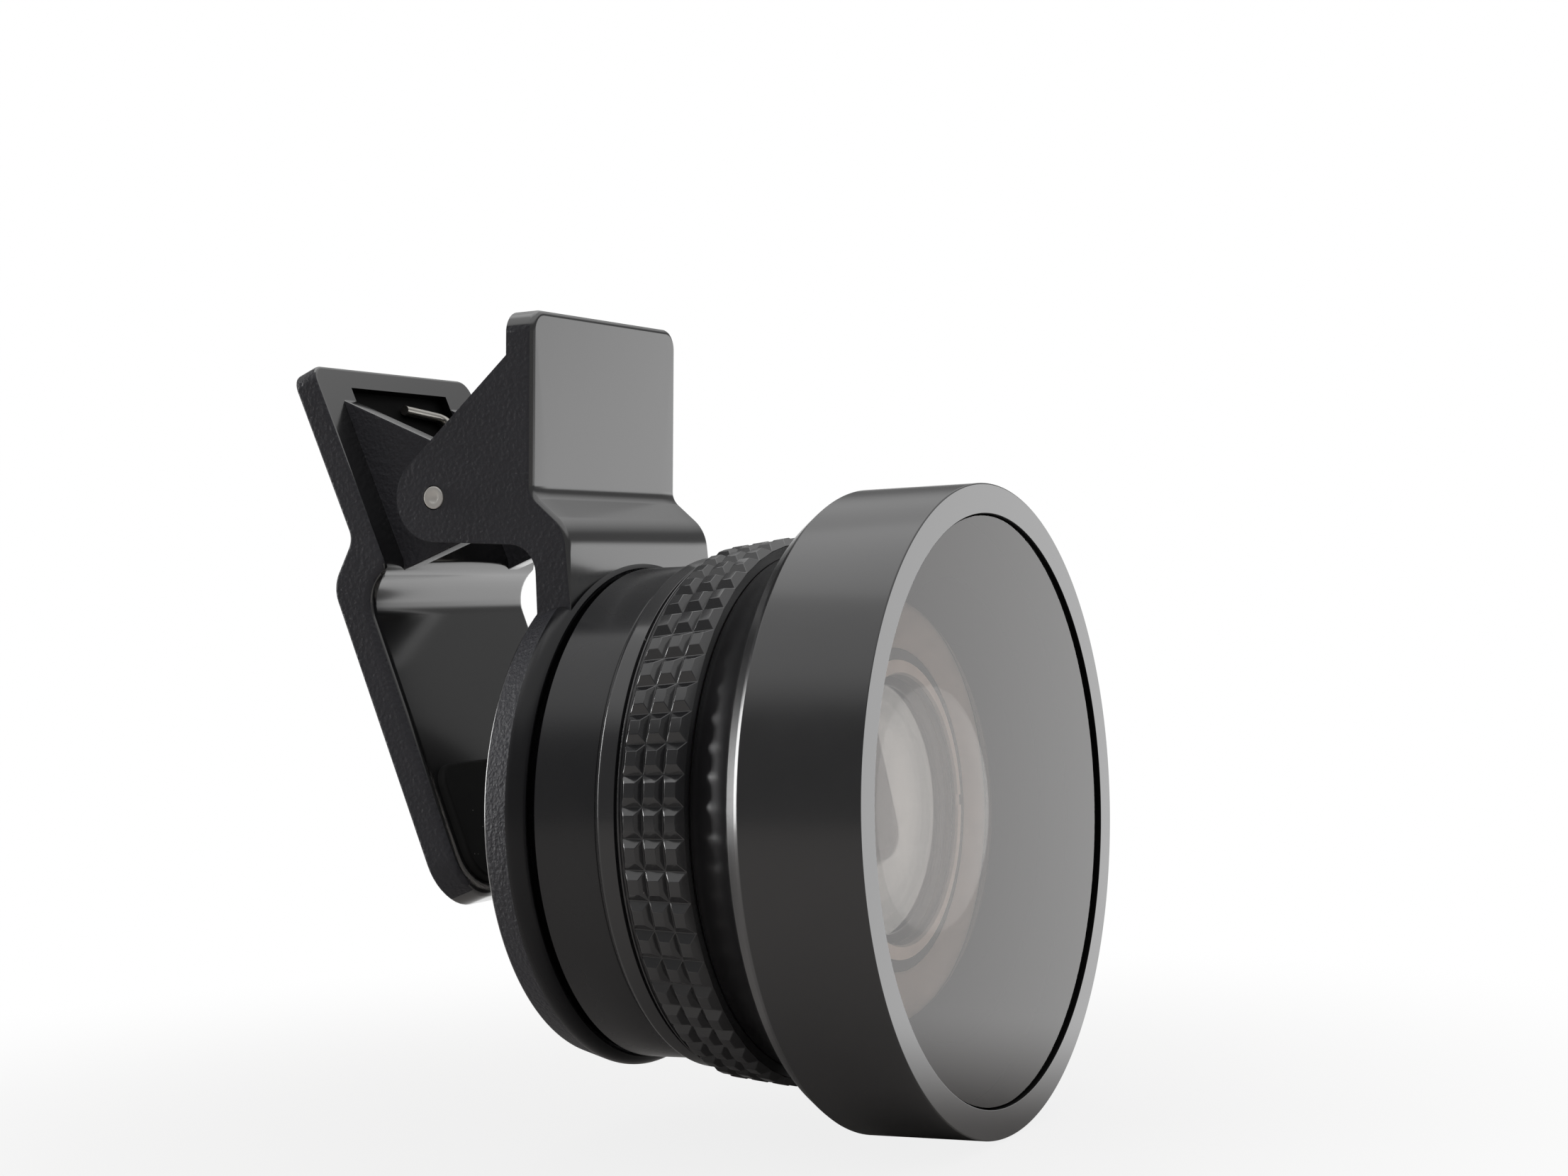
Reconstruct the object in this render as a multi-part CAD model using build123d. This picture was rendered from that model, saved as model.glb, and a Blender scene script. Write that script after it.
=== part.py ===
from build123d import *
import math
import os

# A clip-on phone lens: a wide-angle lens on a macro lens, screwed into a sprung plastic clip.
# X runs forward along the lens axis, Y across the clip and Z up. The origin is on the lens
# axis, on the face of the ring pad that rests on the phone. Sizes are in millimetres.

# Clearances between pieces
SCREW_GAP = 0.05
SEAT_GAP = 0.02
SEAM_GAP = 0.06
PIN_GAP = 0.05
EAR_GAP = 0.35
SPRING_GAP = 0.05

# Screw threads, drawn as plain cylinders
THREAD_R = 18.5
MALE_R = THREAD_R - SCREW_GAP
LENS_BORE_R = 16.35
LENS_R = LENS_BORE_R - SCREW_GAP
EDGE = 0.12

# Hinge pin
PIN_X = -8.89
PIN_Z = 27.02
PIN_R = 0.95
PIN_OVERHANG = 0.1
DIMPLE_R = 0.55
DIMPLE_DEPTH = 0.25

# Clip, both arms
CLIP_HALF_WIDTH = 12.1
POCKET_HALF_WIDTH = 7.3
POCKET_DEPTH = 0.8
ARM_EDGE = 0.3

# Front arm: a leaning handle, a double bend and a lower plate that runs into the ring
HANDLE_TOP_Z = 41.9
HANDLE_LEAN = 3.0
HANDLE_WALL = 2.55
HANDLE_FOOT = (0.66, 26.8)
HANDLE_FOOT_ROUND = 1.5
PLATE_STEP = (3.95, 23.8)
PLATE_STEP_ROUND = 3.5
PLATE_WALL = 3.2
PLATE_EDGE = 0.5
HANDLE_CORNER_R = 1.8
FRONT_POCKET_Z = (28.5, 37.3)

# Front arm's ears
FRONT_EAR_R = 3.7
FRONT_EAR_WALL = 2.6
FRONT_EAR_TOP_Z = 38.3
FRONT_EAR_FOOT_Z = 22.6
FRONT_EAR_FILLET = 2.5
EAR_EDGE = 0.25

# Ring
RING_REAR_X = 0.23
RING_REAR_R = 20.5
RING_SHOULDER_X = 2.68
RING_SHOULDER_R = 21.2
BEAD_CREST = (4.2, 20.6)
BEAD_INNER = (3.5, 20.0)
BEAD_TOP_BOW = (0.72, 0.2)
BEAD_FRONT_BOW = (0.2, 0.64)
RING_FACE_X = 3.3
RING_LIP_X = 1.2
RING_LIP_R = 16.9
RING_PAD_R = (17.4, 19.7)
RING_PAD_WALL = 0.65

# Rear arm: a leaning handle, a fold and a jaw
LEDGE = (-13.88, 21.4)
REAR_HANDLE_LEAN = 21.6
REAR_HANDLE_LENGTH = 18.97
REAR_HANDLE_WALL = 2.3
REAR_CORNER_R = 1.5
FOLD_UP = 3.65
FOLD_ROUND = 1.8
CHANNEL = (-16.09, 19.31)
CHANNEL_ROUND = 3.2
JAW_LEAN = 19.8
JAW_LENGTH = 27.23
JAW_WALL = 3.0
JAW_CORNER_R = 4.0
JAW_EDGE = 0.8
ELBOW_UP = 1.8
ELBOW_ROUND = 3.0
REAR_POCKET_TOP_RIM = 1.9
REAR_POCKET_UP = (5.97, REAR_HANDLE_LENGTH - REAR_POCKET_TOP_RIM)

# Rear arm's ears
REAR_EAR_R = 3.75
REAR_EAR_WALL = 1.8
REAR_EAR_UP = 15.8
REAR_EAR_FOOT = (-14.0, 21.28)

# Jaw pad
JAW_PAD_TOP = 11.6
JAW_PAD_MARGIN = 1.1
JAW_PAD_WALL = 1.0
JAW_PAD_SUNK = 0.3
JAW_PAD_ROUND = 2.0

# Torsion spring
WIRE_R = 0.5
COIL_R = 2.2
COIL_PITCH = 1.1
COIL_TURNS_SPARED = 1
SPRING_BEND_R = 1.2
SPRING_LAP = 0.3
SPRING_BAR = 6.0
SPRING_BAR_RISE = 0.6
SPRING_BELOW_TOP = 4.1
SPRING_REAR_UP = REAR_HANDLE_LENGTH - SPRING_BELOW_TOP
SPRING_FRONT_Z = 35.6

# Macro lens
MACRO_NECK_X = 4.88
MACRO_R = 20.54
MACRO_FRONT_X = 10.44
MACRO_SEAT_X = 2.0
MACRO_SEAT_R = 15.2
MACRO_THREAD = 3.04
MACRO_GLASS = 3.56
MACRO_CEMENT_CURVE = 60.0
MACRO_FRONT_CURVE = 70.0
MACRO_RIM = 0.35
MACRO_RING = 1.2
RETAINER_R = 14.9
SPANNER_SLOT = (1.4, 0.5)

# Wide-angle lens, grip barrel
COLLAR_R = 21.2
COLLAR_BEVEL = 0.58
COLLAR_LENGTH = 2.0
SEAM_DEPTH = 0.3
SEAM_WIDTH = 0.45
LIP_R = 21.5
LIP_WIDTH = 0.35
WIDE_THREAD = 3.0
WIDE_SEAT = 0.7
WIDE_SEAT_R = 14.5

# Knurled band
KNURL_TEETH = 56
KNURL_ROWS = 3
KNURL_PITCH = 1.9
KNURL_FLAT = 0.93
KNURL_REAR_R = 21.93
KNURL_CONE = 6.0
KNURL_DEPTH = 0.55
KNURL_GROOVE = 1.36
KNURL_PHASE = 88.0

# Wide-angle lens, rear glass
WIDE_GLASS = 3.58
WIDE_CEMENT_CURVE = 60.0
WIDE_FRONT_CURVE = 90.0
WIDE_RIM = 0.35
SPACER = 1.78
SPACER_R = 15.2
MIDDLE_GLASS = 1.8
MIDDLE_REAR_CURVE = 55.0
MIDDLE_FRONT_CURVE = 80.0
MIDDLE_RING = 1.0

# Hood
SPIGOT_R = 19.9
SPIGOT_BORE_R = 17.6
HOOD_ROOT_R = 21.05
COVE_START = (0.6, 21.2)
COVE_MIDDLE = (2.75, 22.5)
COVE_END = (5.0, 24.8)
HOOD_STEP = 0.25
HOOD_CONE_END = (7.05, 25.9)
HOOD_R = 26.0
HOOD_FRONT_X = 35.6
HOOD_WALL = 2.44

# Front glass
FRONT_GLASS_SETBACK = 0.9
FRONT_GLASS_CURVE = 400.0
FRONT_GLASS_WALL = 10.1
FRONT_HOLLOW_R = 18.5
FRONT_HOLLOW_CURVE = 24.0
FRONT_GLASS_BEVEL = 0.25
GASKET = 0.4
GASKET_WIDTH = 3.4

# Stations that follow from the sizes above
MACRO_REAR_X = RING_LIP_X + SCREW_GAP
WIDE_COLLAR_X = MACRO_FRONT_X + SEAM_GAP
WIDE_REAR_X = WIDE_COLLAR_X - WIDE_THREAD
WIDE_SEAT_X = WIDE_REAR_X + WIDE_SEAT
LIP_X = WIDE_COLLAR_X + COLLAR_LENGTH + SEAM_WIDTH
KNURL_X = LIP_X + LIP_WIDTH
KNURL_SLOPE = math.tan(math.radians(KNURL_CONE))
KNURL_V = (KNURL_PITCH - KNURL_FLAT) / 2
GRIP_END_X = KNURL_X + KNURL_ROWS * KNURL_PITCH
WIDE_RIM_X = WIDE_SEAT_X + SEAT_GAP + WIDE_GLASS
MIDDLE_X = WIDE_RIM_X + SPACER
MIDDLE_RIM_X = MIDDLE_X + MIDDLE_GLASS
GRIP_BORE_END_X = MIDDLE_RIM_X + MIDDLE_RING
HOOD_REAR_X = GRIP_END_X + SEAM_GAP
FRONT_GLASS_REAR_X = HOOD_FRONT_X - FRONT_GLASS_SETBACK - FRONT_GLASS_WALL
HOOD_BORE_R = HOOD_R - HOOD_WALL
FRONT_GLASS_R = HOOD_BORE_R - SCREW_GAP


def loop(corners):
    """Closed outline through corners, each given as across, up and rounding."""
    points = [corner[:2] for corner in corners]
    return FilletPolyline(*points, radius=[corner[2] for corner in corners], close=True)


def turned(*lines):
    """Solid turned about the lens axis from a closed outline of (x, radius) lines."""
    edges = [edge for line in lines for edge in line.edges()]
    return revolve(make_face(edges), axis=Axis.X)


def turned_band(rear_x, front_x, inner_r, outer_r, rounding=0.0):
    """Plain ring about the lens axis."""
    return turned(loop([
        (rear_x, inner_r, rounding),
        (rear_x, outer_r, rounding),
        (front_x, outer_r, rounding),
        (front_x, inner_r, rounding),
    ]))


def side_face(*lines):
    """Flat face in the plane of the clip's profile from a closed outline of (x, z) lines."""
    edges = [edge for line in lines for edge in line.edges()]
    return Plane.XZ * make_face(edges)


def across(face, half_width):
    """The profile face carried to both sides of the clip's middle plane."""
    return extrude(face, amount=half_width, both=True)


def wall(face, inner_y, thickness):
    """Two walls from one profile face, mirrored about the clip's middle plane."""
    far = extrude(Pos(0, inner_y, 0) * face, amount=thickness, dir=(0, 1, 0))
    return [far, mirror(far, about=Plane.XZ)]


def along(start, lean, up, out):
    """Point up a leaning line from its start, and out from it to the rear."""
    angle = math.radians(lean)
    x = start[0] - up * math.sin(angle) - out * math.cos(angle)
    z = start[1] + up * math.cos(angle) - out * math.sin(angle)
    return (x, z)


def between(start, end, share):
    """Point at a share of the way along and a share of the way up from start to end."""
    return (start[0] + share[0] * (end[0] - start[0]),
            start[1] + share[1] * (end[1] - start[1]))


def pin_hole(radius):
    """Cutter for the pin's hole through the whole width of the clip."""
    return across(side_face(Pos(PIN_X, PIN_Z) * CenterArc((0, 0), radius, 0, 360)),
                  CLIP_HALF_WIDTH + 1)


def tangent_angle(root, radius, side):
    """Direction from the pin, in degrees, of the point where a line from the root touches."""
    reach = math.hypot(root[0] - PIN_X, root[1] - PIN_Z)
    bearing = math.atan2(root[1] - PIN_Z, root[0] - PIN_X)
    return math.degrees(bearing + side * math.acos(radius / reach))


def round_pin(radius, degrees):
    """Point at a distance and a direction from the pin."""
    angle = math.radians(degrees)
    return (PIN_X + radius * math.cos(angle), PIN_Z + radius * math.sin(angle))


def ear_face(radius, upper_root, lower_root, side, back):
    """Ear with a round nose about the pin and straight edges to its two roots.

    The side is 1 for roots in front of the pin and -1 for roots behind it. The back is the
    run of (x, z, rounding) corners from the lower root to the upper one, inside the handle.
    """
    upper = tangent_angle(upper_root, radius, side)
    lower = tangent_angle(lower_root, radius, -side)
    sweep = side * ((side * (lower - upper)) % 360)
    nose = ThreePointArc(round_pin(radius, upper), round_pin(radius, upper + sweep / 2),
                         round_pin(radius, lower))
    rim = FilletPolyline(nose @ 1, *[corner[:2] for corner in back], nose @ 0,
                         radius=[corner[2] for corner in back])
    return side_face(nose, rim)


def nearest_edge(solid, point):
    """The edge of the solid that is closest to the point."""
    return solid.edges().sort_by_distance(point)[0]


def front_handle_x(z):
    """Forward face of the front handle at a height."""
    return HANDLE_FOOT[0] + (z - HANDLE_FOOT[1]) * math.tan(math.radians(HANDLE_LEAN))


def front_plate():
    """Handle, double bend and lower plate of the front arm, cut off round the ring's bead."""
    bend = math.atan2(PLATE_STEP[0] - HANDLE_FOOT[0], HANDLE_FOOT[1] - PLATE_STEP[1])
    drop = math.tan(bend / 2)
    top_x = front_handle_x(HANDLE_TOP_Z)
    plate = across(side_face(loop([
        (top_x, HANDLE_TOP_Z, 0),
        (*HANDLE_FOOT, HANDLE_FOOT_ROUND),
        (*PLATE_STEP, PLATE_STEP_ROUND),
        (PLATE_STEP[0], 0, 0),
        (PLATE_STEP[0] - PLATE_WALL, 0, 0),
        (PLATE_STEP[0] - PLATE_WALL, PLATE_STEP[1] - PLATE_WALL * drop, HANDLE_FOOT_ROUND),
        (HANDLE_FOOT[0] - HANDLE_WALL, HANDLE_FOOT[1] - HANDLE_WALL * drop, PLATE_STEP_ROUND),
        (top_x - HANDLE_WALL, HANDLE_TOP_Z, 0),
    ])), CLIP_HALF_WIDTH)
    corners = [nearest_edge(plate, (top_x - HANDLE_WALL / 2, y, HANDLE_TOP_Z))
               for y in (-CLIP_HALF_WIDTH, CLIP_HALF_WIDTH)]
    plate = fillet(corners, HANDLE_CORNER_R)
    middle_z = (HANDLE_TOP_Z + HANDLE_FOOT[1]) / 2
    front = nearest_edge(plate, (front_handle_x(middle_z), CLIP_HALF_WIDTH, middle_z))
    plate = fillet(front, PLATE_EDGE)
    rear = nearest_edge(plate, (front_handle_x(middle_z) - HANDLE_WALL, CLIP_HALF_WIDTH, middle_z))
    plate = fillet(rear, ARM_EDGE)
    return plate - turned_band(-PLATE_STEP[0], 2 * PLATE_STEP[0], 0, BEAD_CREST[1] - EDGE)


def front_pocket():
    """Cutter for the recess behind the front handle that takes the spring's leg."""
    low, high = FRONT_POCKET_Z
    corners = []
    for z, out in ((low, 0), (low, 1), (high, 1), (high, 0)):
        depth = POCKET_DEPTH if out else -POCKET_DEPTH
        corners.append((front_handle_x(z) - HANDLE_WALL + depth, z, 0))
    return across(side_face(loop(corners)), POCKET_HALF_WIDTH)


def front_ears():
    """The front arm's two outer ears."""
    rear_x = PLATE_STEP[0] - PLATE_WALL
    inside = PLATE_WALL / 3
    upper_root = (front_handle_x(FRONT_EAR_TOP_Z) - HANDLE_WALL, FRONT_EAR_TOP_Z)
    lower_root = (rear_x, FRONT_EAR_FOOT_Z)
    face = ear_face(FRONT_EAR_R, upper_root, lower_root, 1, [
        (*lower_root, FRONT_EAR_FILLET),
        (rear_x, FRONT_EAR_FOOT_Z - FRONT_EAR_FILLET - inside, 0),
        (rear_x + inside, FRONT_EAR_FOOT_Z - FRONT_EAR_FILLET - inside, 0),
        (rear_x + inside, PLATE_STEP[1], 0),
        (upper_root[0] + inside, HANDLE_FOOT[1], 0),
        (upper_root[0] + inside, upper_root[1], 0),
        (*upper_root, 0),
    ])
    inner_y = CLIP_HALF_WIDTH - FRONT_EAR_WALL
    return [soft_rim(ear, FRONT_EAR_R) for ear in wall(face, inner_y, FRONT_EAR_WALL)]


def soft_rim(ear, radius):
    """The ear with a small bevel along the outer rim of its nose."""
    outer = ear.faces().sort_by(lambda face: abs(face.center().Y))[-1]
    nose = outer.edges().filter_by(GeomType.CIRCLE)
    nose = nose.sort_by_distance((PIN_X, outer.center().Y, PIN_Z + 2 * radius))
    turned_edges = [edge for edge in nose if abs(edge.radius - radius) < EDGE]
    return chamfer(turned_edges, EAR_EDGE)


def clip_ring():
    """Ring with the rounded front bead, the thread's bore, the rear lip and the pad's recess."""
    shoulder = (RING_SHOULDER_X, RING_SHOULDER_R)
    bead_top = ThreePointArc(shoulder, between(shoulder, BEAD_CREST, BEAD_TOP_BOW), BEAD_CREST)
    bead_front = ThreePointArc(
        BEAD_CREST, between(BEAD_CREST, BEAD_INNER, BEAD_FRONT_BOW), BEAD_INNER)
    body = FilletPolyline(
        BEAD_INNER,
        (RING_FACE_X, BEAD_INNER[1] - EDGE),
        (RING_FACE_X, THREAD_R),
        (RING_LIP_X, THREAD_R),
        (RING_LIP_X, RING_LIP_R),
        (RING_REAR_X, RING_LIP_R),
        (RING_REAR_X, RING_REAR_R),
        shoulder,
        radius=[0, 0, 0, 0, EDGE, EDGE])
    recess = turned_band(-RING_LIP_X, RING_PAD_WALL, RING_PAD_R[0], RING_PAD_R[1])
    return turned(bead_top, bead_front, body) - recess


def clip_front_arm():
    """Front handle, ears, bend and ring in one moulding."""
    arm = front_plate() + front_ears() + clip_ring()
    return arm - front_pocket() - pin_hole(PIN_R)


def ring_pad():
    """Soft ring that rests on the phone."""
    return turned_band(0, RING_PAD_WALL, RING_PAD_R[0], RING_PAD_R[1])


def rear_plate():
    """Handle, fold and jaw of the rear arm."""
    tip_out = along(CHANNEL, JAW_LEAN, -JAW_LENGTH, JAW_WALL)
    tip_in = along(CHANNEL, JAW_LEAN, -JAW_LENGTH, 0)
    top_in = along(LEDGE, REAR_HANDLE_LEAN, REAR_HANDLE_LENGTH, 0)
    top_out = along(LEDGE, REAR_HANDLE_LEAN, REAR_HANDLE_LENGTH, REAR_HANDLE_WALL)
    plate = across(side_face(loop([
        (*top_in, 0),
        (*top_out, 0),
        (*along(LEDGE, REAR_HANDLE_LEAN, FOLD_UP, REAR_HANDLE_WALL), FOLD_ROUND),
        (*along(CHANNEL, JAW_LEAN, ELBOW_UP, JAW_WALL), ELBOW_ROUND),
        (*tip_out, 0),
        (*tip_in, 0),
        (*CHANNEL, CHANNEL_ROUND),
        (*LEDGE, 0),
    ])), CLIP_HALF_WIDTH)
    for end_in, end_out, radius in ((top_in, top_out, REAR_CORNER_R),
                                    (tip_in, tip_out, JAW_CORNER_R)):
        middle = ((end_in[0] + end_out[0]) / 2, (end_in[1] + end_out[1]) / 2)
        corners = [nearest_edge(plate, (middle[0], y, middle[1]))
                   for y in (-CLIP_HALF_WIDTH, CLIP_HALF_WIDTH)]
        plate = fillet(corners, radius)
    jaw = along(CHANNEL, JAW_LEAN, -JAW_LENGTH / 2, 0)
    plate = fillet(nearest_edge(plate, (jaw[0], CLIP_HALF_WIDTH, jaw[1])), JAW_EDGE)
    for out in (0, REAR_HANDLE_WALL):
        x, z = along(LEDGE, REAR_HANDLE_LEAN, REAR_HANDLE_LENGTH / 2, out)
        plate = fillet(nearest_edge(plate, (x, CLIP_HALF_WIDTH, z)), ARM_EDGE)
    return plate


def rear_pocket():
    """Cutter for the recess in the rear handle that takes the spring's leg."""
    low, high = REAR_POCKET_UP
    corners = [(up, out) for up, out in ((low, -1), (low, 1), (high, 1), (high, -1))]
    return across(side_face(loop([
        (*along(LEDGE, REAR_HANDLE_LEAN, up, out * POCKET_DEPTH), 0) for up, out in corners
    ])), POCKET_HALF_WIDTH)


def rear_ears():
    """The rear arm's two inner ears."""
    upper_root = along(LEDGE, REAR_HANDLE_LEAN, REAR_EAR_UP, 0)
    inside = REAR_HANDLE_WALL / 2
    face = ear_face(REAR_EAR_R, upper_root, REAR_EAR_FOOT, -1, [
        (*REAR_EAR_FOOT, 0),
        (*along(LEDGE, REAR_HANDLE_LEAN, 0, inside), 0),
        (*along(LEDGE, REAR_HANDLE_LEAN, REAR_EAR_UP, inside), 0),
        (*upper_root, 0),
    ])
    outer_y = CLIP_HALF_WIDTH - FRONT_EAR_WALL - EAR_GAP
    return wall(face, outer_y - REAR_EAR_WALL, REAR_EAR_WALL)


def jaw_pad(sunk=JAW_PAD_SUNK, thickness=JAW_PAD_WALL):
    """Soft pad let into the inner face of the jaw's tip."""
    start = along(CHANNEL, JAW_LEAN, JAW_PAD_TOP - JAW_LENGTH, sunk)
    slope = math.radians(JAW_LEAN)
    face_plane = Plane(
        origin=(start[0], 0, start[1]),
        x_dir=(math.sin(slope), 0, -math.cos(slope)),
        z_dir=(math.cos(slope), 0, math.sin(slope)))
    half_width = CLIP_HALF_WIDTH - JAW_PAD_MARGIN
    length = JAW_PAD_TOP - JAW_PAD_MARGIN
    tip_round = JAW_CORNER_R - JAW_PAD_MARGIN
    outline = loop([
        (0, -half_width, JAW_PAD_ROUND),
        (length, -half_width, tip_round),
        (length, half_width, tip_round),
        (0, half_width, JAW_PAD_ROUND),
    ])
    return extrude(face_plane * make_face(outline.edges()), amount=thickness)


def clip_rear_arm():
    """Rear handle, inner ears, fold and jaw in one moulding."""
    arm = rear_plate() + rear_ears()
    return arm - rear_pocket() - pin_hole(PIN_R + PIN_GAP) - jaw_pad()


def hinge_pin():
    """Pin through all four ears, with a dimple in each end."""
    half_length = CLIP_HALF_WIDTH + PIN_OVERHANG
    pin = across(side_face(Pos(PIN_X, PIN_Z) * CenterArc((0, 0), PIN_R, 0, 360)), half_length)
    ends = [nearest_edge(pin, (PIN_X, y, PIN_Z + PIN_R)) for y in (-half_length, half_length)]
    pin = chamfer(ends, EDGE)
    bit = Cone(DIMPLE_R, EDGE, DIMPLE_DEPTH, align=(Align.CENTER, Align.CENTER, Align.MIN))
    near = Pos(PIN_X, -half_length, PIN_Z) * Rot(-90, 0, 0) * bit
    return pin - [near, mirror(near, about=Plane.XZ)]


def wire(path):
    """Round wire along a path."""
    section = Plane(origin=path @ 0, z_dir=path % 0) * Circle(WIRE_R)
    return sweep(section, path=path, is_frenet=True)


def spring_leg(bar, coil_angle, coil_y, rise):
    """Straight leg from the coil to a bar that lies across the handle, in one bend."""
    end = 1 if coil_y < 0 else -1
    touch = round_pin(COIL_R, coil_angle)
    lap = SPRING_LAP / math.dist(touch, bar)
    return wire(FilletPolyline(
        (touch[0] + lap * (touch[0] - bar[0]), coil_y, touch[1] + lap * (touch[1] - bar[1])),
        (bar[0], coil_y, bar[1]),
        (bar[0] + rise[0], coil_y + end * SPRING_BAR, bar[1] + rise[1]),
        radius=SPRING_BEND_R))


def whole_turns():
    """Full turns of the coil that the room between the inner ears allows."""
    ear_y = CLIP_HALF_WIDTH - FRONT_EAR_WALL - EAR_GAP - REAR_EAR_WALL
    return int(2 * (ear_y - WIRE_R) / COIL_PITCH) - COIL_TURNS_SPARED


def torsion_spring():
    """Close-wound coil about the pin with a leg on each handle."""
    seat = POCKET_DEPTH - WIRE_R - SPRING_GAP
    rear_bar = along(LEDGE, REAR_HANDLE_LEAN, SPRING_REAR_UP, seat)
    rear_rise = along((0, 0), REAR_HANDLE_LEAN, SPRING_BAR_RISE, 0)
    front_bar = (front_handle_x(SPRING_FRONT_Z) - HANDLE_WALL + seat, SPRING_FRONT_Z)
    front_angle = tangent_angle(front_bar, COIL_R, -1)
    rear_angle = tangent_angle(rear_bar, COIL_R, 1)
    turns = whole_turns() + ((front_angle - rear_angle) % 360) / 360
    half_length = turns * COIL_PITCH / 2
    helix = Helix(pitch=COIL_PITCH, height=2 * half_length, radius=COIL_R)
    coil = Rot(0, -front_angle, 0) * Rot(-90, 0, 0) * wire(helix)
    spring = Pos(PIN_X, -half_length, PIN_Z) * coil
    spring += spring_leg(rear_bar, rear_angle, half_length, rear_rise)
    return spring + spring_leg(front_bar, front_angle, -half_length, (0, SPRING_BAR_RISE))


def lens_curve(edge_x, edge_r, curve):
    """Arc of a lens surface from the axis to its edge, bulging forward where curve is positive."""
    if curve == 0:
        return Line((edge_x, 0), (edge_x, edge_r))
    centre_x = edge_x - math.copysign(math.sqrt(curve ** 2 - edge_r ** 2), curve)
    middle_x = centre_x + math.copysign(math.sqrt(curve ** 2 - edge_r ** 2 / 4), curve)
    return ThreePointArc((centre_x + curve, 0), (middle_x, edge_r / 2), (edge_x, edge_r))


def lens_element(rear, front, rim_r):
    """Round element between two surfaces, each given as edge position, edge radius and curve."""
    rear_line = lens_curve(*rear)
    front_line = lens_curve(*front)
    rim = []
    for point in ((rear[0], rear[1]), (rear[0], rim_r), (front[0], rim_r), (front[0], front[1])):
        if point not in rim:
            rim.append(point)
    axis_line = Line(front_line @ 0, rear_line @ 0)
    return turned(rear_line, Polyline(*rim), front_line, axis_line)


def cemented_pair(seat_x, glass, cement_curve, front_curve, rim):
    """Rear flint and front crown that share one curved face, as (flint, crown)."""
    shared = (seat_x + glass - rim, LENS_R, -cement_curve)
    flint = lens_element((seat_x, LENS_R, 0), shared, LENS_R)
    crown = lens_element(shared, (seat_x + glass, LENS_R, front_curve), LENS_R)
    return flint, crown


def crown_rise(curve, inner_r):
    """How far a surface has bulged forward of its rim at a smaller radius."""
    return math.sqrt(curve ** 2 - inner_r ** 2) - math.sqrt(curve ** 2 - LENS_R ** 2)


def retaining_ring(rim_x, curve, length):
    """Ring whose inner edge bears on an element, with two spanner slots in its front face."""
    rear_x = rim_x + crown_rise(curve, RETAINER_R) + SEAT_GAP
    ring = turned_band(rear_x, rear_x + length, RETAINER_R, LENS_R)
    width, depth = SPANNER_SLOT
    slot = Pos(rear_x + length, 0, 0) * Box(2 * depth, 2 * THREAD_R, width)
    return ring - slot


def macro_barrel():
    """Macro lens body with a male thread behind and a female thread in front."""
    bore_end = MACRO_FRONT_X - MACRO_THREAD
    return turned(loop([
        (MACRO_REAR_X, MACRO_SEAT_R, EDGE),
        (MACRO_REAR_X, MALE_R, EDGE),
        (MACRO_NECK_X, MALE_R, 0),
        (MACRO_NECK_X, MACRO_R, EDGE),
        (MACRO_FRONT_X, MACRO_R, EDGE),
        (MACRO_FRONT_X, THREAD_R, 0),
        (bore_end, THREAD_R, 0),
        (bore_end, LENS_BORE_R, 0),
        (MACRO_SEAT_X, LENS_BORE_R, 0),
        (MACRO_SEAT_X, MACRO_SEAT_R, 0),
    ]))


def knurl_radius(x):
    """Radius over the flats of the knurled cone."""
    return KNURL_REAR_R + (x - KNURL_X) * KNURL_SLOPE


def knurl_corners():
    """Outline of the ringed grooves along the knurled cone, from rear to front."""
    corners = [(KNURL_X, knurl_radius(KNURL_X) - KNURL_DEPTH, 0)]
    for row in range(KNURL_ROWS):
        flat_x = KNURL_X + row * KNURL_PITCH + KNURL_V
        end_x = KNURL_X + (row + 1) * KNURL_PITCH
        corners.append((flat_x, knurl_radius(flat_x), 0))
        corners.append((flat_x + KNURL_FLAT, knurl_radius(flat_x + KNURL_FLAT), 0))
        corners.append((end_x, knurl_radius(end_x) - KNURL_DEPTH, 0))
    return corners


def knurl_cutters():
    """Wedges that cut the lengthwise grooves, one for each tooth round the barrel."""
    bottom = knurl_radius(KNURL_X) - KNURL_DEPTH
    section = Plane(origin=(KNURL_X, 0, 0), x_dir=(0, 1, 0), z_dir=(1, 0, 0))
    wedge = extrude(
        section * make_face(Polyline(
            (0, bottom),
            (-KNURL_GROOVE, bottom + 2 * KNURL_DEPTH),
            (KNURL_GROOVE, bottom + 2 * KNURL_DEPTH),
            close=True).edges()),
        amount=(KNURL_ROWS + 1) * KNURL_PITCH,
        dir=(1, 0, KNURL_SLOPE))
    step = 360 / KNURL_TEETH
    return [Rot(KNURL_PHASE + tooth * step, 0, 0) * wedge for tooth in range(KNURL_TEETH)]


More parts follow.
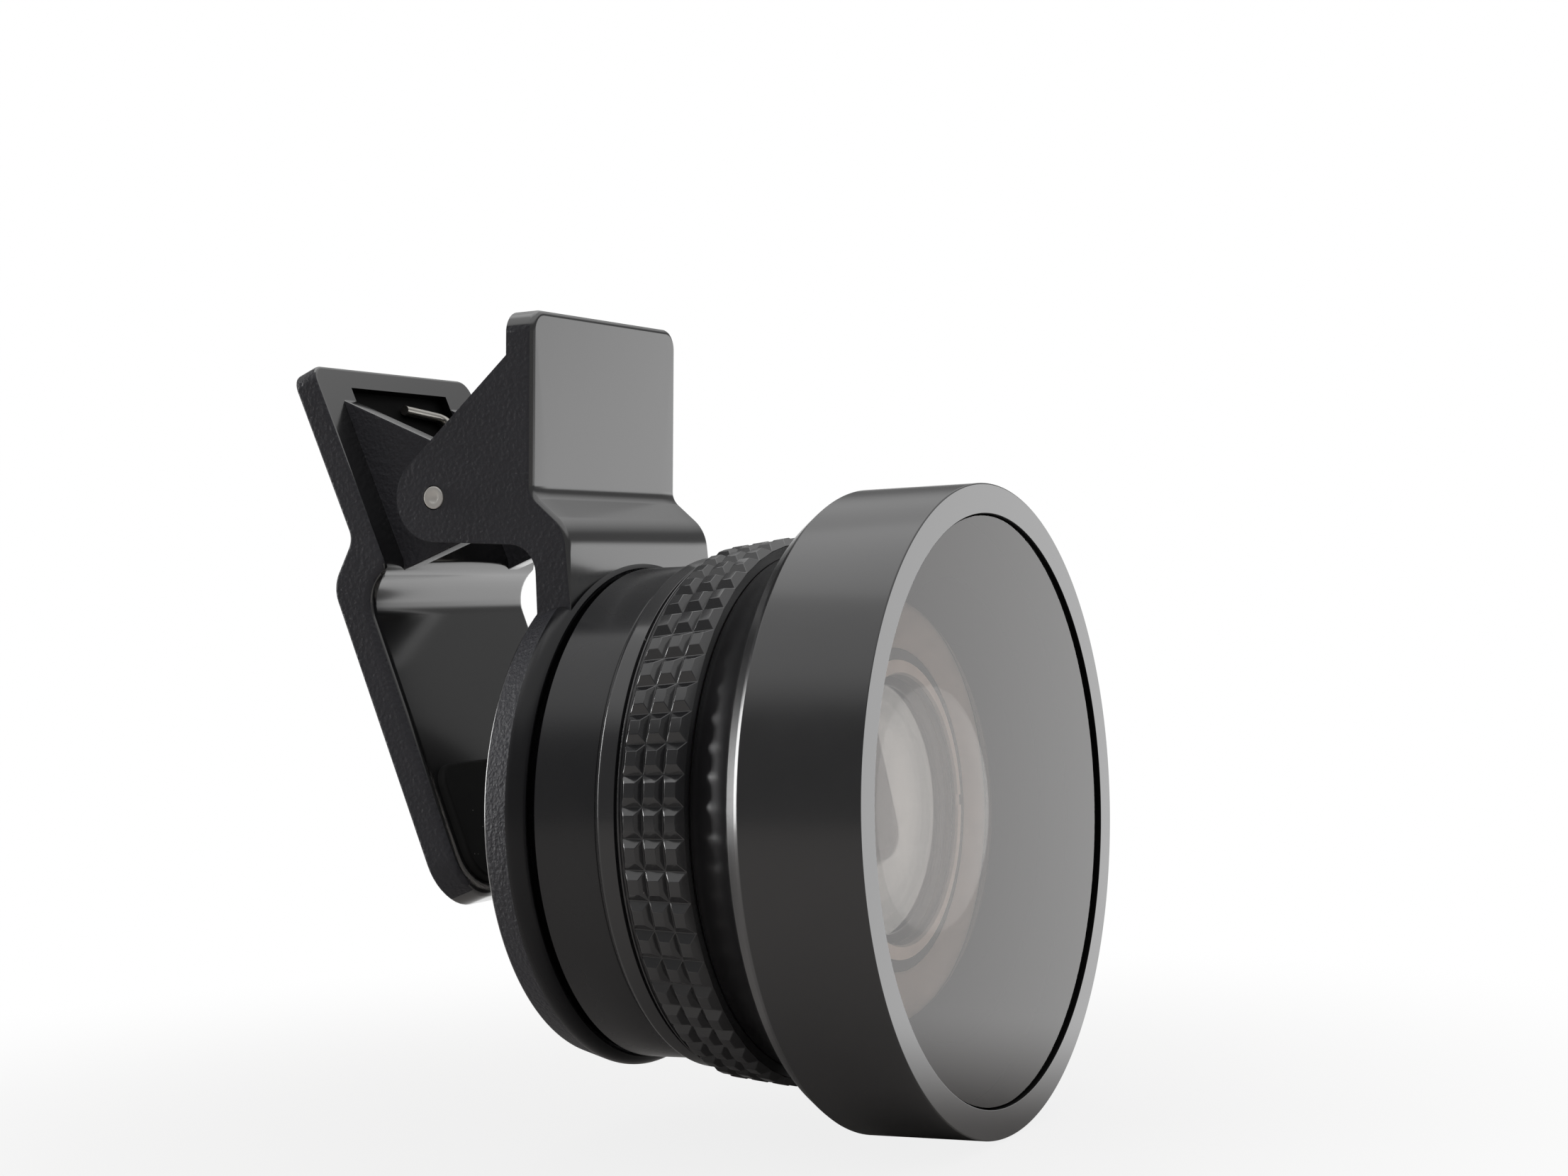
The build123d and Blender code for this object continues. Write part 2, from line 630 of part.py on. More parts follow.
def grip_barrel():
    """Rear body of the wide-angle lens with its collar, knurled band and male thread."""
    seam_r = COLLAR_R - SEAM_DEPTH
    seam_x = WIDE_COLLAR_X + COLLAR_LENGTH
    body = turned(loop([
        (WIDE_REAR_X, WIDE_SEAT_R, EDGE),
        (WIDE_REAR_X, MALE_R, EDGE),
        (WIDE_COLLAR_X, MALE_R, 0),
        (WIDE_COLLAR_X, COLLAR_R - COLLAR_BEVEL, 0),
        (WIDE_COLLAR_X + COLLAR_BEVEL, COLLAR_R, 0),
        (seam_x, COLLAR_R, 0),
        (seam_x, seam_r, 0),
        (LIP_X, seam_r, 0),
        (LIP_X, LIP_R, EDGE),
        (KNURL_X, LIP_R, EDGE),
        *knurl_corners(),
        (GRIP_END_X, SPIGOT_R + SCREW_GAP, 0),
        (GRIP_BORE_END_X, SPIGOT_R + SCREW_GAP, 0),
        (GRIP_BORE_END_X, LENS_BORE_R, 0),
        (WIDE_SEAT_X, LENS_BORE_R, 0),
        (WIDE_SEAT_X, WIDE_SEAT_R, 0),
    ]))
    return body - knurl_cutters()


def element_spacer():
    """Tube between the rear pair and the middle element."""
    rear_x = WIDE_RIM_X + crown_rise(WIDE_FRONT_CURVE, SPACER_R) + SEAT_GAP
    return turned_band(rear_x, MIDDLE_X, SPACER_R, LENS_R)


def middle_element():
    """Negative meniscus element."""
    return lens_element((MIDDLE_X, SPACER_R, MIDDLE_REAR_CURVE),
                        (MIDDLE_RIM_X, LENS_R, MIDDLE_FRONT_CURVE), LENS_R)


def hood():
    """Front body of the wide-angle lens: spigot, cove, cone and straight hood."""
    cove = [(HOOD_REAR_X + x, r) for x, r in (COVE_START, COVE_MIDDLE, COVE_END)]
    spigot_x = GRIP_BORE_END_X + SEAM_GAP
    shoulder_x = FRONT_GLASS_REAR_X - GASKET
    outside = FilletPolyline(
        cove[2],
        (cove[2][0] + HOOD_STEP, cove[2][1] + HOOD_STEP),
        (HOOD_REAR_X + HOOD_CONE_END[0], HOOD_CONE_END[1]),
        (HOOD_REAR_X + HOOD_CONE_END[0] + EDGE, HOOD_R),
        (HOOD_FRONT_X, HOOD_R),
        (HOOD_FRONT_X, HOOD_BORE_R),
        (shoulder_x, HOOD_BORE_R),
        (shoulder_x, FRONT_HOLLOW_R + HOOD_STEP),
        (spigot_x, SPIGOT_BORE_R),
        (spigot_x, SPIGOT_R),
        (HOOD_REAR_X, SPIGOT_R),
        (HOOD_REAR_X, HOOD_ROOT_R),
        cove[0],
        radius=[0, EDGE, 0, EDGE, EDGE, 0, 0, 0, 0, 0, 0])
    return turned(ThreePointArc(*cove), outside)


def front_gasket():
    """Thin ring between the hood's shoulder and the front element."""
    outer_r = FRONT_GLASS_R
    return turned_band(FRONT_GLASS_REAR_X - GASKET, FRONT_GLASS_REAR_X,
                       outer_r - GASKET_WIDTH, outer_r)


def front_element():
    """Large negative element: nearly flat in front and deeply hollow behind."""
    front_x = FRONT_GLASS_REAR_X + FRONT_GLASS_WALL
    glass = lens_element((FRONT_GLASS_REAR_X, FRONT_HOLLOW_R, FRONT_HOLLOW_CURVE),
                         (front_x, FRONT_GLASS_R, FRONT_GLASS_CURVE), FRONT_GLASS_R)
    rim = nearest_edge(glass, (front_x, 0, FRONT_GLASS_R))
    return chamfer(rim, FRONT_GLASS_BEVEL)


def main():
    """Build every piece and write it to its own file."""
    macro_flint, macro_crown = cemented_pair(
        MACRO_SEAT_X + SEAT_GAP, MACRO_GLASS, MACRO_CEMENT_CURVE, MACRO_FRONT_CURVE, MACRO_RIM)
    rear_flint, rear_crown = cemented_pair(
        WIDE_SEAT_X + SEAT_GAP, WIDE_GLASS, WIDE_CEMENT_CURVE, WIDE_FRONT_CURVE, WIDE_RIM)
    macro_rim_x = MACRO_SEAT_X + SEAT_GAP + MACRO_GLASS
    pieces = {
        "clip_front_arm": clip_front_arm(),
        "clip_rear_arm": clip_rear_arm(),
        "hinge_pin": hinge_pin(),
        "torsion_spring": torsion_spring(),
        "ring_pad": ring_pad(),
        "jaw_pad": jaw_pad(),
        "macro_barrel": macro_barrel(),
        "macro_flint_element": macro_flint,
        "macro_crown_element": macro_crown,
        "macro_retaining_ring": retaining_ring(macro_rim_x, MACRO_FRONT_CURVE, MACRO_RING),
        "grip_barrel": grip_barrel(),
        "rear_flint_element": rear_flint,
        "rear_crown_element": rear_crown,
        "element_spacer": element_spacer(),
        "middle_element": middle_element(),
        "middle_retaining_ring": retaining_ring(MIDDLE_RIM_X, MIDDLE_FRONT_CURVE, MIDDLE_RING),
        "hood": hood(),
        "front_gasket": front_gasket(),
        "front_element": front_element(),
    }
    os.makedirs("parts", exist_ok=True)
    for name, solid in pieces.items():
        export_step(solid, os.path.join("parts", name + ".step"))


main()
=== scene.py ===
import logging
import math
from dataclasses import dataclass
from enum import Enum, IntEnum
from typing import Callable, Iterable, Sequence

import bmesh
import bpy
from bmesh.types import BMEdge, BMesh, BMFace, BMVert
from bpy.types import ID, Material, Mesh, Node, NodeSocket, NodeTree, Object
from mathutils import Matrix, Vector


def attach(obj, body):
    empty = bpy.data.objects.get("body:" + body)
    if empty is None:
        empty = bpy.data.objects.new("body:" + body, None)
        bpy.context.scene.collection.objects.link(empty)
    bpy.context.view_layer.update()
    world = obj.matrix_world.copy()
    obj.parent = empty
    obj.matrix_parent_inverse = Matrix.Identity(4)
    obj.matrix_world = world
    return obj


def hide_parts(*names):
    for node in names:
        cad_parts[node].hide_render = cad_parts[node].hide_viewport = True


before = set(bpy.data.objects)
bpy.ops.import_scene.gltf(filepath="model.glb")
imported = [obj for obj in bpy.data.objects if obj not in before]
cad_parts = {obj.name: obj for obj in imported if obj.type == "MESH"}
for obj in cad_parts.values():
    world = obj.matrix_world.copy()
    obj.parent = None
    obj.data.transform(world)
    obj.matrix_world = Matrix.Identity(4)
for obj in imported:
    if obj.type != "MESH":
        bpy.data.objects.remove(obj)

LOG = logging.getLogger("clip_on_lens")

# Lengths are in millimetres and fields' angles in degrees, unless a docstring says otherwise
MM = 0.001
PIN = (-8.89, 27.02)
PIN_R = 0.95
HALF_WIDTH = 12.1
FULL_TURN = 192
DOUBLES = 0.0005
NEAR = 0.01
STEEP = 60

# Screw threads between the clip's ring and the two barrels
FEMALE_R = 18.5
MALE_R = 18.45
THREAD_DEPTH = 0.35
RELIEF_R = 18.0
RELIEF = 0.2
LEAD_R = 18.3

# Glass inside the barrels
TUBE_R = 16.35
INNER_GLASS_R = 16.3
INNER_GLASS_TURN = 96
CEMENT_CURVE = 60.0
CEMENT_GAP = 0.01
CROWN_RIM = 0.35

# Finishes
TURNING_SCALE = 9000.0
DUST_COLOUR = (0.35, 0.34, 0.33, 1.0)
GLASS_REFLECTION = (1.0, 0.93, 0.9, 1.0)

Point = tuple[float, float]
Triple = tuple[float, float, float]
Corner = Triple
Finishes = dict[str, Material]


class Body(Enum):
    """The moving bodies of the frame that pieces ride on."""

    CLIP = "clip"
    REAR_ARM = "rear_arm"
    MACRO_TRAVEL = "macro_travel"
    MACRO_LENS = "macro_lens"
    WIDE_TRAVEL = "wide_travel"
    WIDE_LENS = "wide_lens"


def arc(centre: Vector, start: Vector, sweep: float, steps: int) -> list[Point]:
    """Points of an arc that a spoke draws round a centre, sweeping by an angle in radians."""
    points = []
    for step in range(steps + 1):
        spoke = Matrix.Rotation(-sweep * step / steps, 2) @ start
        points.append((centre.x + spoke.x, centre.y + spoke.y))
    return points


def rounded(corners: Sequence[Corner], steps: int = 6, closed: bool = True) -> list[Point]:
    """Follows an outline of straight runs, with an arc at each corner that has a rounding.

    Args:
        corners: across, up and rounding radius of each corner, in millimetres.
        steps: points along each arc.
        closed: whether the last corner runs on to the first.

    Returns:
        The points of the outline in order.
    """
    points: list[Point] = []
    count = len(corners)
    for index, (across, up, radius) in enumerate(corners):
        here = Vector((across, up))
        if radius == 0 or (not closed and index in (0, count - 1)):
            points.append((across, up))
            continue
        back = (Vector(corners[index - 1][:2]) - here).normalized()
        ahead = (Vector(corners[(index + 1) % count][:2]) - here).normalized()
        half = back.angle(ahead) / 2
        centre = here + (back + ahead).normalized() * radius / math.sin(half)
        start = here + back * radius / math.tan(half) - centre
        sweep = start.angle_signed(here + ahead * radius / math.tan(half) - centre)
        points += arc(centre, start, sweep, steps)
    return points


def arc_through(start: Point, middle: Point, end: Point, steps: int = 16) -> list[Point]:
    """Points of the circular arc from start through middle to end."""
    a, b, c = Vector(start), Vector(middle), Vector(end)
    spread = 2 * (a.x * (b.y - c.y) + b.x * (c.y - a.y) + c.x * (a.y - b.y))
    centre = Vector((
        (a.length_squared * (b.y - c.y) + b.length_squared * (c.y - a.y)
         + c.length_squared * (a.y - b.y)) / spread,
        (a.length_squared * (c.x - b.x) + b.length_squared * (a.x - c.x)
         + c.length_squared * (b.x - a.x)) / spread))
    sweep = (a - centre).angle_signed(b - centre) + (b - centre).angle_signed(c - centre)
    return arc(centre, a - centre, sweep, steps)


def lens_curve(edge_x: float, edge_r: float, curve: float, steps: int = 28) -> list[Point]:
    """Points of a lens surface from axis to edge, bulging forward where curve is positive."""
    if curve == 0:
        return [(edge_x, 0.0), (edge_x, edge_r)]
    centre = edge_x - math.copysign(math.sqrt(curve ** 2 - edge_r ** 2), curve)
    limit = math.asin(edge_r / abs(curve))
    return [(centre + curve * math.cos(limit * step / steps),
             abs(curve) * math.sin(limit * step / steps)) for step in range(steps + 1)]


def along(start: Point, lean: float, up: float, out: float) -> Point:
    """Point up a line that leans back by an angle in degrees, and out from it to the rear."""
    angle = math.radians(lean)
    return (start[0] - up * math.sin(angle) - out * math.cos(angle),
            start[1] + up * math.cos(angle) - out * math.sin(angle))


def spun(outline: Sequence[Point], closed: bool = True, segments: int = FULL_TURN) -> BMesh:
    """Turns an outline of (x, radius) points about the lens axis."""
    bm = bmesh.new()
    verts = [bm.verts.new((x, radius, 0)) for x, radius in outline]
    pairs = list(zip(verts, verts[1:]))
    if closed:
        pairs.append((verts[-1], verts[0]))
    edges = [bm.edges.new(pair) for pair in pairs]
    bmesh.ops.spin(bm, geom=verts + edges, cent=(0, 0, 0), axis=(1, 0, 0), angle=math.tau,
                   steps=segments, use_merge=True)
    bmesh.ops.remove_doubles(bm, verts=bm.verts, dist=DOUBLES)
    bmesh.ops.recalc_face_normals(bm, faces=bm.faces)
    return bm


def extruded(outline: Iterable[Sequence[float]], move: Sequence[float]) -> BMesh:
    """Carries a flat outline of places along a move and closes its sides."""
    bm = bmesh.new()
    face = bm.faces.new([bm.verts.new(place) for place in outline])
    moved = bmesh.ops.extrude_face_region(bm, geom=[face])["geom"]
    bmesh.ops.translate(bm, verts=[item for item in moved if isinstance(item, BMVert)], vec=move)
    bmesh.ops.recalc_face_normals(bm, faces=bm.faces)
    return bm


def prism(outline: Sequence[Point], near_y: float, far_y: float) -> BMesh:
    """Carries a side outline of (x, z) points from one plane across the clip to another."""
    return extruded([(x, near_y, z) for x, z in outline], (0, far_y - near_y, 0))


def soften(bm: BMesh, wanted: Callable[[BMEdge], bool], width: float, segments: int = 3) -> None:
    """Rounds the edges that a test picks.

    Args:
        bm: the mesh to change.
        wanted: says of an edge whether it is rounded.
        width: how far the rounding reaches from the edge, in millimetres.
        segments: faces across the rounding.
    """
    bm.normal_update()
    edges = [edge for edge in bm.edges if len(edge.link_faces) == 2 and wanted(edge)]
    bmesh.ops.bevel(bm, geom=edges, offset=width, offset_type="OFFSET", segments=segments,
                    profile=0.5, affect="EDGES", material=-1, clamp_overlap=True)


def crease(edge: BMEdge) -> float:
    """Angle between an edge's two faces, in degrees."""
    return math.degrees(edge.calc_face_angle(0.0))


def run_y(edge: BMEdge) -> float:
    """How far an edge runs across the clip."""
    return abs(edge.verts[0].co.y - edge.verts[1].co.y)


def mirrored(bm: BMesh) -> BMesh:
    """Copy of a mesh on the other side of the clip's middle plane."""
    other = bm.copy()
    bmesh.ops.scale(other, vec=(1, -1, 1), verts=other.verts)
    bmesh.ops.reverse_faces(other, faces=other.faces)
    return other


def placed(name: str, data: ID) -> Object:
    """Puts an object that holds the data into the scene."""
    thing = bpy.data.objects.new(name, data)
    bpy.context.scene.collection.objects.link(thing)
    return thing


def mesh_of(name: str, bm: BMesh) -> Mesh:
    """Makes a mesh of a bmesh, which is freed."""
    mesh = bpy.data.meshes.new(name)
    bm.to_mesh(mesh)
    bm.free()
    return mesh


def evaluated(holder: Object) -> BMesh:
    """Takes an object's shape with its modifiers or bevel, and removes the object."""
    graph = bpy.context.evaluated_depsgraph_get()
    bm = bmesh.new()
    bm.from_mesh(holder.evaluated_get(graph).to_mesh())
    bpy.data.objects.remove(holder)
    return bm


def carved(bm: BMesh, cutter: BMesh) -> BMesh:
    """Takes one closed mesh away from another."""
    blank, tool = (placed("carving", mesh_of("carving", source)) for source in (bm, cutter))
    modifier = blank.modifiers.new("cut", "BOOLEAN")
    modifier.object = tool
    modifier.operation = "DIFFERENCE"
    modifier.solver = "EXACT"
    result = evaluated(blank)
    bpy.data.objects.remove(tool)
    return result


def joined(parts: Iterable[BMesh]) -> BMesh:
    """Puts several meshes into one."""
    whole = bmesh.new()
    for part in parts:
        mesh = mesh_of("part", part)
        whole.from_mesh(mesh)
        bpy.data.meshes.remove(mesh)
    return whole


def paint(bm: BMesh, finish: Callable[[BMFace, Vector], int]) -> None:
    """Numbers each face's material by a rule that takes the face and its middle."""
    bm.normal_update()
    for face in bm.faces:
        face.material_index = finish(face, face.calc_center_median())


def add_piece(name: str, bm: BMesh, body: Body, materials: Sequence[Material],
              nodes: Sequence[str] = (), sharp: float = 32.0) -> Object:
    """Makes a finished piece of a mesh in millimetres and fastens it to its body.

    Args:
        name: the piece's name.
        bm: its mesh, which is freed.
        body: the body that it rides on.
        materials: its materials, in the order of the faces' material numbers.
        nodes: the frame's nodes that it stands for.
        sharp: edges with a larger angle than this, in degrees, stay sharp.

    Returns:
        The new object.
    """
    bmesh.ops.scale(bm, vec=(MM, MM, MM), verts=bm.verts)
    bm.normal_update()
    for face in bm.faces:
        face.smooth = True
    for edge in bm.edges:
        edge.smooth = len(edge.link_faces) == 2 and crease(edge) < sharp
    mesh = mesh_of(name, bm)
    for material in materials:
        mesh.materials.append(material)
    piece = placed(name, mesh)
    weighted = piece.modifiers.new("face_weighted_normals", "WEIGHTED_NORMAL")
    weighted.keep_sharp = True
    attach(piece, body.value)
    if nodes:
        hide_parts(*nodes)
    LOG.info("%s: %d faces on %s", name, len(mesh.polygons), body.value)
    return piece


class Wiring:
    """Adds nodes to one node tree and links them."""

    def __init__(self, tree: NodeTree) -> None:
        """Takes the tree to work in."""
        self.tree = tree

    def feed(self, target: NodeSocket, value: object) -> None:
        """Links an output to an input, or sets the input's own value."""
        if isinstance(value, NodeSocket):
            self.tree.links.new(value, target)
        else:
            target.default_value = value

    def fill(self, node: Node, *inputs: object, **values: object) -> None:
        """Feeds a node's inputs and sets its properties.

        Args:
            node: the node.
            inputs: what its first inputs take, in order.
            values: what inputs or properties take by name, a space written as two underscores.
        """
        for key, value in values.items():
            label = key.replace("__", " ")
            if label in node.inputs:
                self.feed(node.inputs[label], value)
            else:
                setattr(node, key, value)
        for socket, value in zip(node.inputs, inputs):
            self.feed(socket, value)

    def add(self, kind: str, *inputs: object, **values: object) -> Node:
        """Adds a shader node of a kind and fills it."""
        node = self.tree.nodes.new("ShaderNode" + kind)
        self.fill(node, *inputs, **values)
        return node

    def maths(self, operation: str, first: object, second: object) -> NodeSocket:
        """Adds a Math node and gives its output."""
        return self.add("Math", first, second, operation=operation).outputs[0]


def new_group(name: str, outputs: Sequence[str], **inputs: float) -> tuple[Wiring, Node, Node]:
    """Starts a shader node group that takes a position and some values.

    Args:
        name: the group's name.
        outputs: names of its value outputs.
        inputs: default of each value input by name.

    Returns:
        The group's wiring, its input node and its output node.
    """
    tree = bpy.data.node_groups.new(name, "ShaderNodeTree")
    tree.interface.new_socket("Position", in_out="INPUT", socket_type="NodeSocketVector")
    for label, value in inputs.items():
        socket = tree.interface.new_socket(label, in_out="INPUT", socket_type="NodeSocketFloat")
        socket.default_value = value
    for label in outputs:
        tree.interface.new_socket(label, in_out="OUTPUT", socket_type="NodeSocketFloat")
    return Wiring(tree), tree.nodes.new("NodeGroupInput"), tree.nodes.new("NodeGroupOutput")


def new_material(name: str, **values: object) -> tuple[Material, Wiring, Node]:
    """Starts a material.

    Args:
        name: the material's name.
        values: its shader's socket defaults, as Wiring.fill takes them.

    Returns:
        The material, its wiring and its Principled BSDF.
    """
    material = bpy.data.materials.new(name)
    material.use_nodes = True
    wiring = Wiring(material.node_tree)
    shader = material.node_tree.nodes["Principled BSDF"]
    wiring.fill(shader, **values)
    return material, wiring, shader


class SharedEffects:
    """Surface effects that several finishes use, each built once as a node group."""

    def __init__(self) -> None:
        """Builds the groups."""
        self.grain = self.build_grain()
        self.specks = self.build_specks()
        self.turning = self.build_turning()

    def build_grain(self) -> NodeTree:
        """Fine pebbled texture of a spark-eroded mould or a blasted surface."""
        w, source, sink = new_group("moulded_grain", ["Height", "Tone"], Scale=5000.0)
        place, scale = source.outputs["Position"], source.outputs["Scale"]
        noise = w.add("TexNoise", Detail=3.0, Roughness=0.6, Vector=place, Scale=scale)
        cells = w.add("TexVoronoi", feature="SMOOTH_F1", Smoothness=0.6, Vector=place,
                      Scale=w.maths("MULTIPLY", scale, 0.55))
        broad = w.add("TexNoise", Detail=2.0, Vector=place, Scale=w.maths("MULTIPLY", scale, 0.03))
        height = w.maths("ADD", w.maths("MULTIPLY", noise.outputs["Fac"], 0.6),
                         w.maths("MULTIPLY", cells.outputs["Distance"], 0.5))
        w.fill(sink, Height=height, Tone=broad.outputs["Fac"])
        return w.tree

    def build_specks(self) -> NodeTree:
        """Sparse specks of dust."""
        w, source, sink = new_group("settled_specks", ["Mask"], Scale=900.0, Amount=0.1)
        cells = w.add("TexVoronoi", feature="F1", Vector=source.outputs["Position"],
                      Scale=source.outputs["Scale"])
        split = w.add("SeparateColor", Color=cells.outputs["Color"])
        chosen = w.maths("LESS_THAN", split.outputs["Red"], source.outputs["Amount"])
        size = w.maths("MULTIPLY", split.outputs["Green"], 0.16)
        near = w.maths("LESS_THAN", cells.outputs["Distance"], size)
        w.fill(sink, Mask=w.maths("MULTIPLY", chosen, near))
        return w.tree

    def build_turning(self) -> NodeTree:
        """Faint rings left by the lathe under an anodised surface."""
        w, source, sink = new_group("turning_marks", ["Height"], Scale=TURNING_SCALE)
        split = w.add("SeparateXYZ", Vector=source.outputs["Position"])
        marks = w.add("TexNoise", noise_dimensions="1D", Detail=4.0, W=split.outputs["X"],
                      Scale=source.outputs["Scale"])
        w.fill(sink, Height=marks.outputs["Fac"])
        return w.tree


@dataclass(frozen=True)
class SolidFinish:
    """An opaque finish with grain, turning marks, uneven gloss and dust."""

    name: str
    colour: Triple
    roughness: float
    metallic: float = 0.0
    specular: float = 0.5
    index: float = 1.5
    coat: float = 0.0
    coat_roughness: float = 0.25
    grain_scale: float = 5000.0
    grain_depth: float = 0.0
    turning_depth: float = 0.0
    uneven: float = 0.1
    dust: float = 0.0
    dust_scale: float = 700.0

    def material(self, effects: SharedEffects) -> Material:
        """Builds the material.

        Args:
            effects: the shared node groups.

        Returns:
            The material.
        """
        material, w, shader = new_material(
            self.name, Metallic=self.metallic, Specular__IOR__Level=self.specular,
            IOR=self.index, Coat__Weight=self.coat, Coat__Roughness=self.coat_roughness)
        place = w.add("TexCoord").outputs["Object"]
        tone = w.add("Group", node_tree=effects.grain, Scale=self.grain_scale,
                     Position=place).outputs["Tone"]
        uneven = w.maths("MULTIPLY", w.maths("SUBTRACT", tone, 0.5), self.uneven * 2)
        rough = w.maths("ADD", uneven, self.roughness)
        lighter = (*(min(1.0, part * 1.5 + 0.004) for part in self.colour), 1.0)
        tint = w.add("Mix", data_type="RGBA", A=(*self.colour, 1.0), B=lighter,
                     Factor=tone).outputs["Result"]
        if self.dust:
            mask = w.add("Group", node_tree=effects.specks, Scale=self.dust_scale,
                         Amount=self.dust, Position=place).outputs["Mask"]
            tint = w.add("Mix", data_type="RGBA", A=tint, B=DUST_COLOUR,
                         Factor=mask).outputs["Result"]
            rough = w.maths("ADD", rough, w.maths("MULTIPLY", mask, 0.4))
        normal: dict[str, NodeSocket] = {}
        for depth, group, scale in ((self.turning_depth, effects.turning, TURNING_SCALE),
                                    (self.grain_depth, effects.grain, self.grain_scale)):
            if depth:
                marks = w.add("Group", node_tree=group, Scale=scale, Position=place)
                bump = w.add("Bump", Strength=1.0, Distance=depth * MM,
                             Height=marks.outputs["Height"], **normal)
                normal = {"Normal": bump.outputs["Normal"]}
        w.fill(shader, Base__Color=tint, Roughness=rough, **normal)
        return material


@dataclass(frozen=True)
class GlassFinish:
    """Clear optical glass."""

    name: str
    colour: Triple
    index: float
    coating: float = 0.0

    def material(self) -> Material:
        """Builds the material."""
        return new_material(
            self.name, Base__Color=(*self.colour, 1.0), Roughness=0.0, IOR=self.index,
            Transmission__Weight=1.0, Coat__Weight=self.coating,
            Specular__Tint=GLASS_REFLECTION)[0]


SOLID_FINISHES = (
    SolidFinish("gloss_moulding", (0.01, 0.01, 0.011), 0.2, index=2.3, coat=1.0,
                coat_roughness=0.12, grain_scale=1500.0, uneven=0.05, dust=0.05,
                dust_scale=500.0),
    SolidFinish("satin_moulding", (0.012, 0.012, 0.014), 0.24, grain_scale=1500.0,
                uneven=0.05, dust=0.05, dust_scale=900.0),
    SolidFinish("textured_moulding", (0.042, 0.042, 0.05), 0.42, grain_scale=4600.0,
                grain_depth=0.16, dust=0.03),
    SolidFinish("barrel_anodised", (0.009, 0.009, 0.011), 0.27, index=1.7, coat=0.3,
                coat_roughness=0.15, grain_scale=9000.0, grain_depth=0.003,
                turning_depth=0.002, uneven=0.04),
    SolidFinish("grip_anodised", (0.012, 0.012, 0.014), 0.22, index=1.85, coat=0.8,
                coat_roughness=0.1, grain_scale=6000.0, grain_depth=0.003, uneven=0.05,
                dust=0.03, dust_scale=1200.0),
    SolidFinish("hood_anodised", (0.012, 0.0115, 0.013), 0.25, index=1.9, coat=0.8,
                coat_roughness=0.15, grain_scale=9000.0, grain_depth=0.002, uneven=0.04),
    SolidFinish("turned_rim", (0.024, 0.025, 0.028), 0.12, index=2.8, coat=1.0,
                coat_roughness=0.08, grain_scale=9000.0, grain_depth=0.001, uneven=0.03),
    # The pale warm bore colour is a painted reflection: it stands for light seen back through the
    # glass, not for the bore's own colour.
    SolidFinish("bore_painted_reflection", (0.6, 0.5, 0.44), 0.35, turning_depth=0.01),
    # Black of the lens's blackened insides, and on the rear arm's spring recess painted shade.
    SolidFinish("inner_black_and_painted_shade", (0.002, 0.002, 0.002), 0.6, specular=0.1, grain_scale=3000.0,
                uneven=0.05),
    SolidFinish("nickel_plate", (0.95, 0.89, 0.78), 0.38, metallic=0.5, grain_scale=3000.0,
                grain_depth=0.03),
    SolidFinish("spring_wire", (0.6, 0.58, 0.54), 0.3, metallic=1.0),
    SolidFinish("pad_rubber", (0.012, 0.012, 0.012), 0.75, specular=0.3, grain_depth=0.01,
                dust=0.25, dust_scale=1600.0),
    SolidFinish("gasket_rubber", (0.01, 0.01, 0.01), 0.7, grain_depth=0.01),
)
GLASS_FINISHES = (
    GlassFinish("front_glass", (0.94, 0.92, 0.9), 1.55, 0.65),
    GlassFinish("inner_glass", (0.8, 0.79, 0.78), 1.6),
)


def build_finishes() -> Finishes:
    """Builds every finish of the lens and its clip, by name."""
    effects = SharedEffects()
    solids = {finish.name: finish.material(effects) for finish in SOLID_FINISHES}
    return solids | {finish.name: finish.material() for finish in GLASS_FINISHES}


class ClipFace(IntEnum):
    """Which of a moulding's finishes a face has."""

    GLOSS = 0
    TEXTURED = 1
    THIRD = 2


class LensFace(IntEnum):
    """Which finish a face of the hood or of the front glass has."""

    BODY = 0
    BLACK = 1
    BORE = 2
    RIM = 3


def tangent_angle(root: Point, radius: float, side: int) -> float:
    """Direction from the pin, in radians, of the point where a line from the root touches."""
    offset = Vector(root) - Vector(PIN)
    return math.atan2(offset.y, offset.x) + side * math.acos(radius / offset.length)


def about_pin(radius: float, angle: float) -> Point:
    """Point round the pin's axis, in a direction given in radians."""
    return PIN[0] + radius * math.cos(angle), PIN[1] + radius * math.sin(angle)


def nose_points(upper: Point, lower: Point, radius: float, side: int,
                steps: int = 24) -> list[Point]:
    """Arc of an ear's nose about the pin, from its upper edge round to its lower edge."""
    start = tangent_angle(upper, radius, side)
    sweep = side * ((side * (tangent_angle(lower, radius, -side) - start)) % math.tau)
    return [about_pin(radius, start + sweep * step / steps) for step in range(steps + 1)]


def pin_cutter(radius: float) -> BMesh:
    """Rod about the pin's axis through the whole clip."""
    bm = bmesh.new()
    bmesh.ops.create_cone(bm, cap_ends=True, segments=48, radius1=radius, radius2=radius,
                          depth=4 * HALF_WIDTH,
                          matrix=Matrix.Translation((PIN[0], 0, PIN[1]))
                          @ Matrix.Rotation(math.pi / 2, 4, "X"))
    return bm


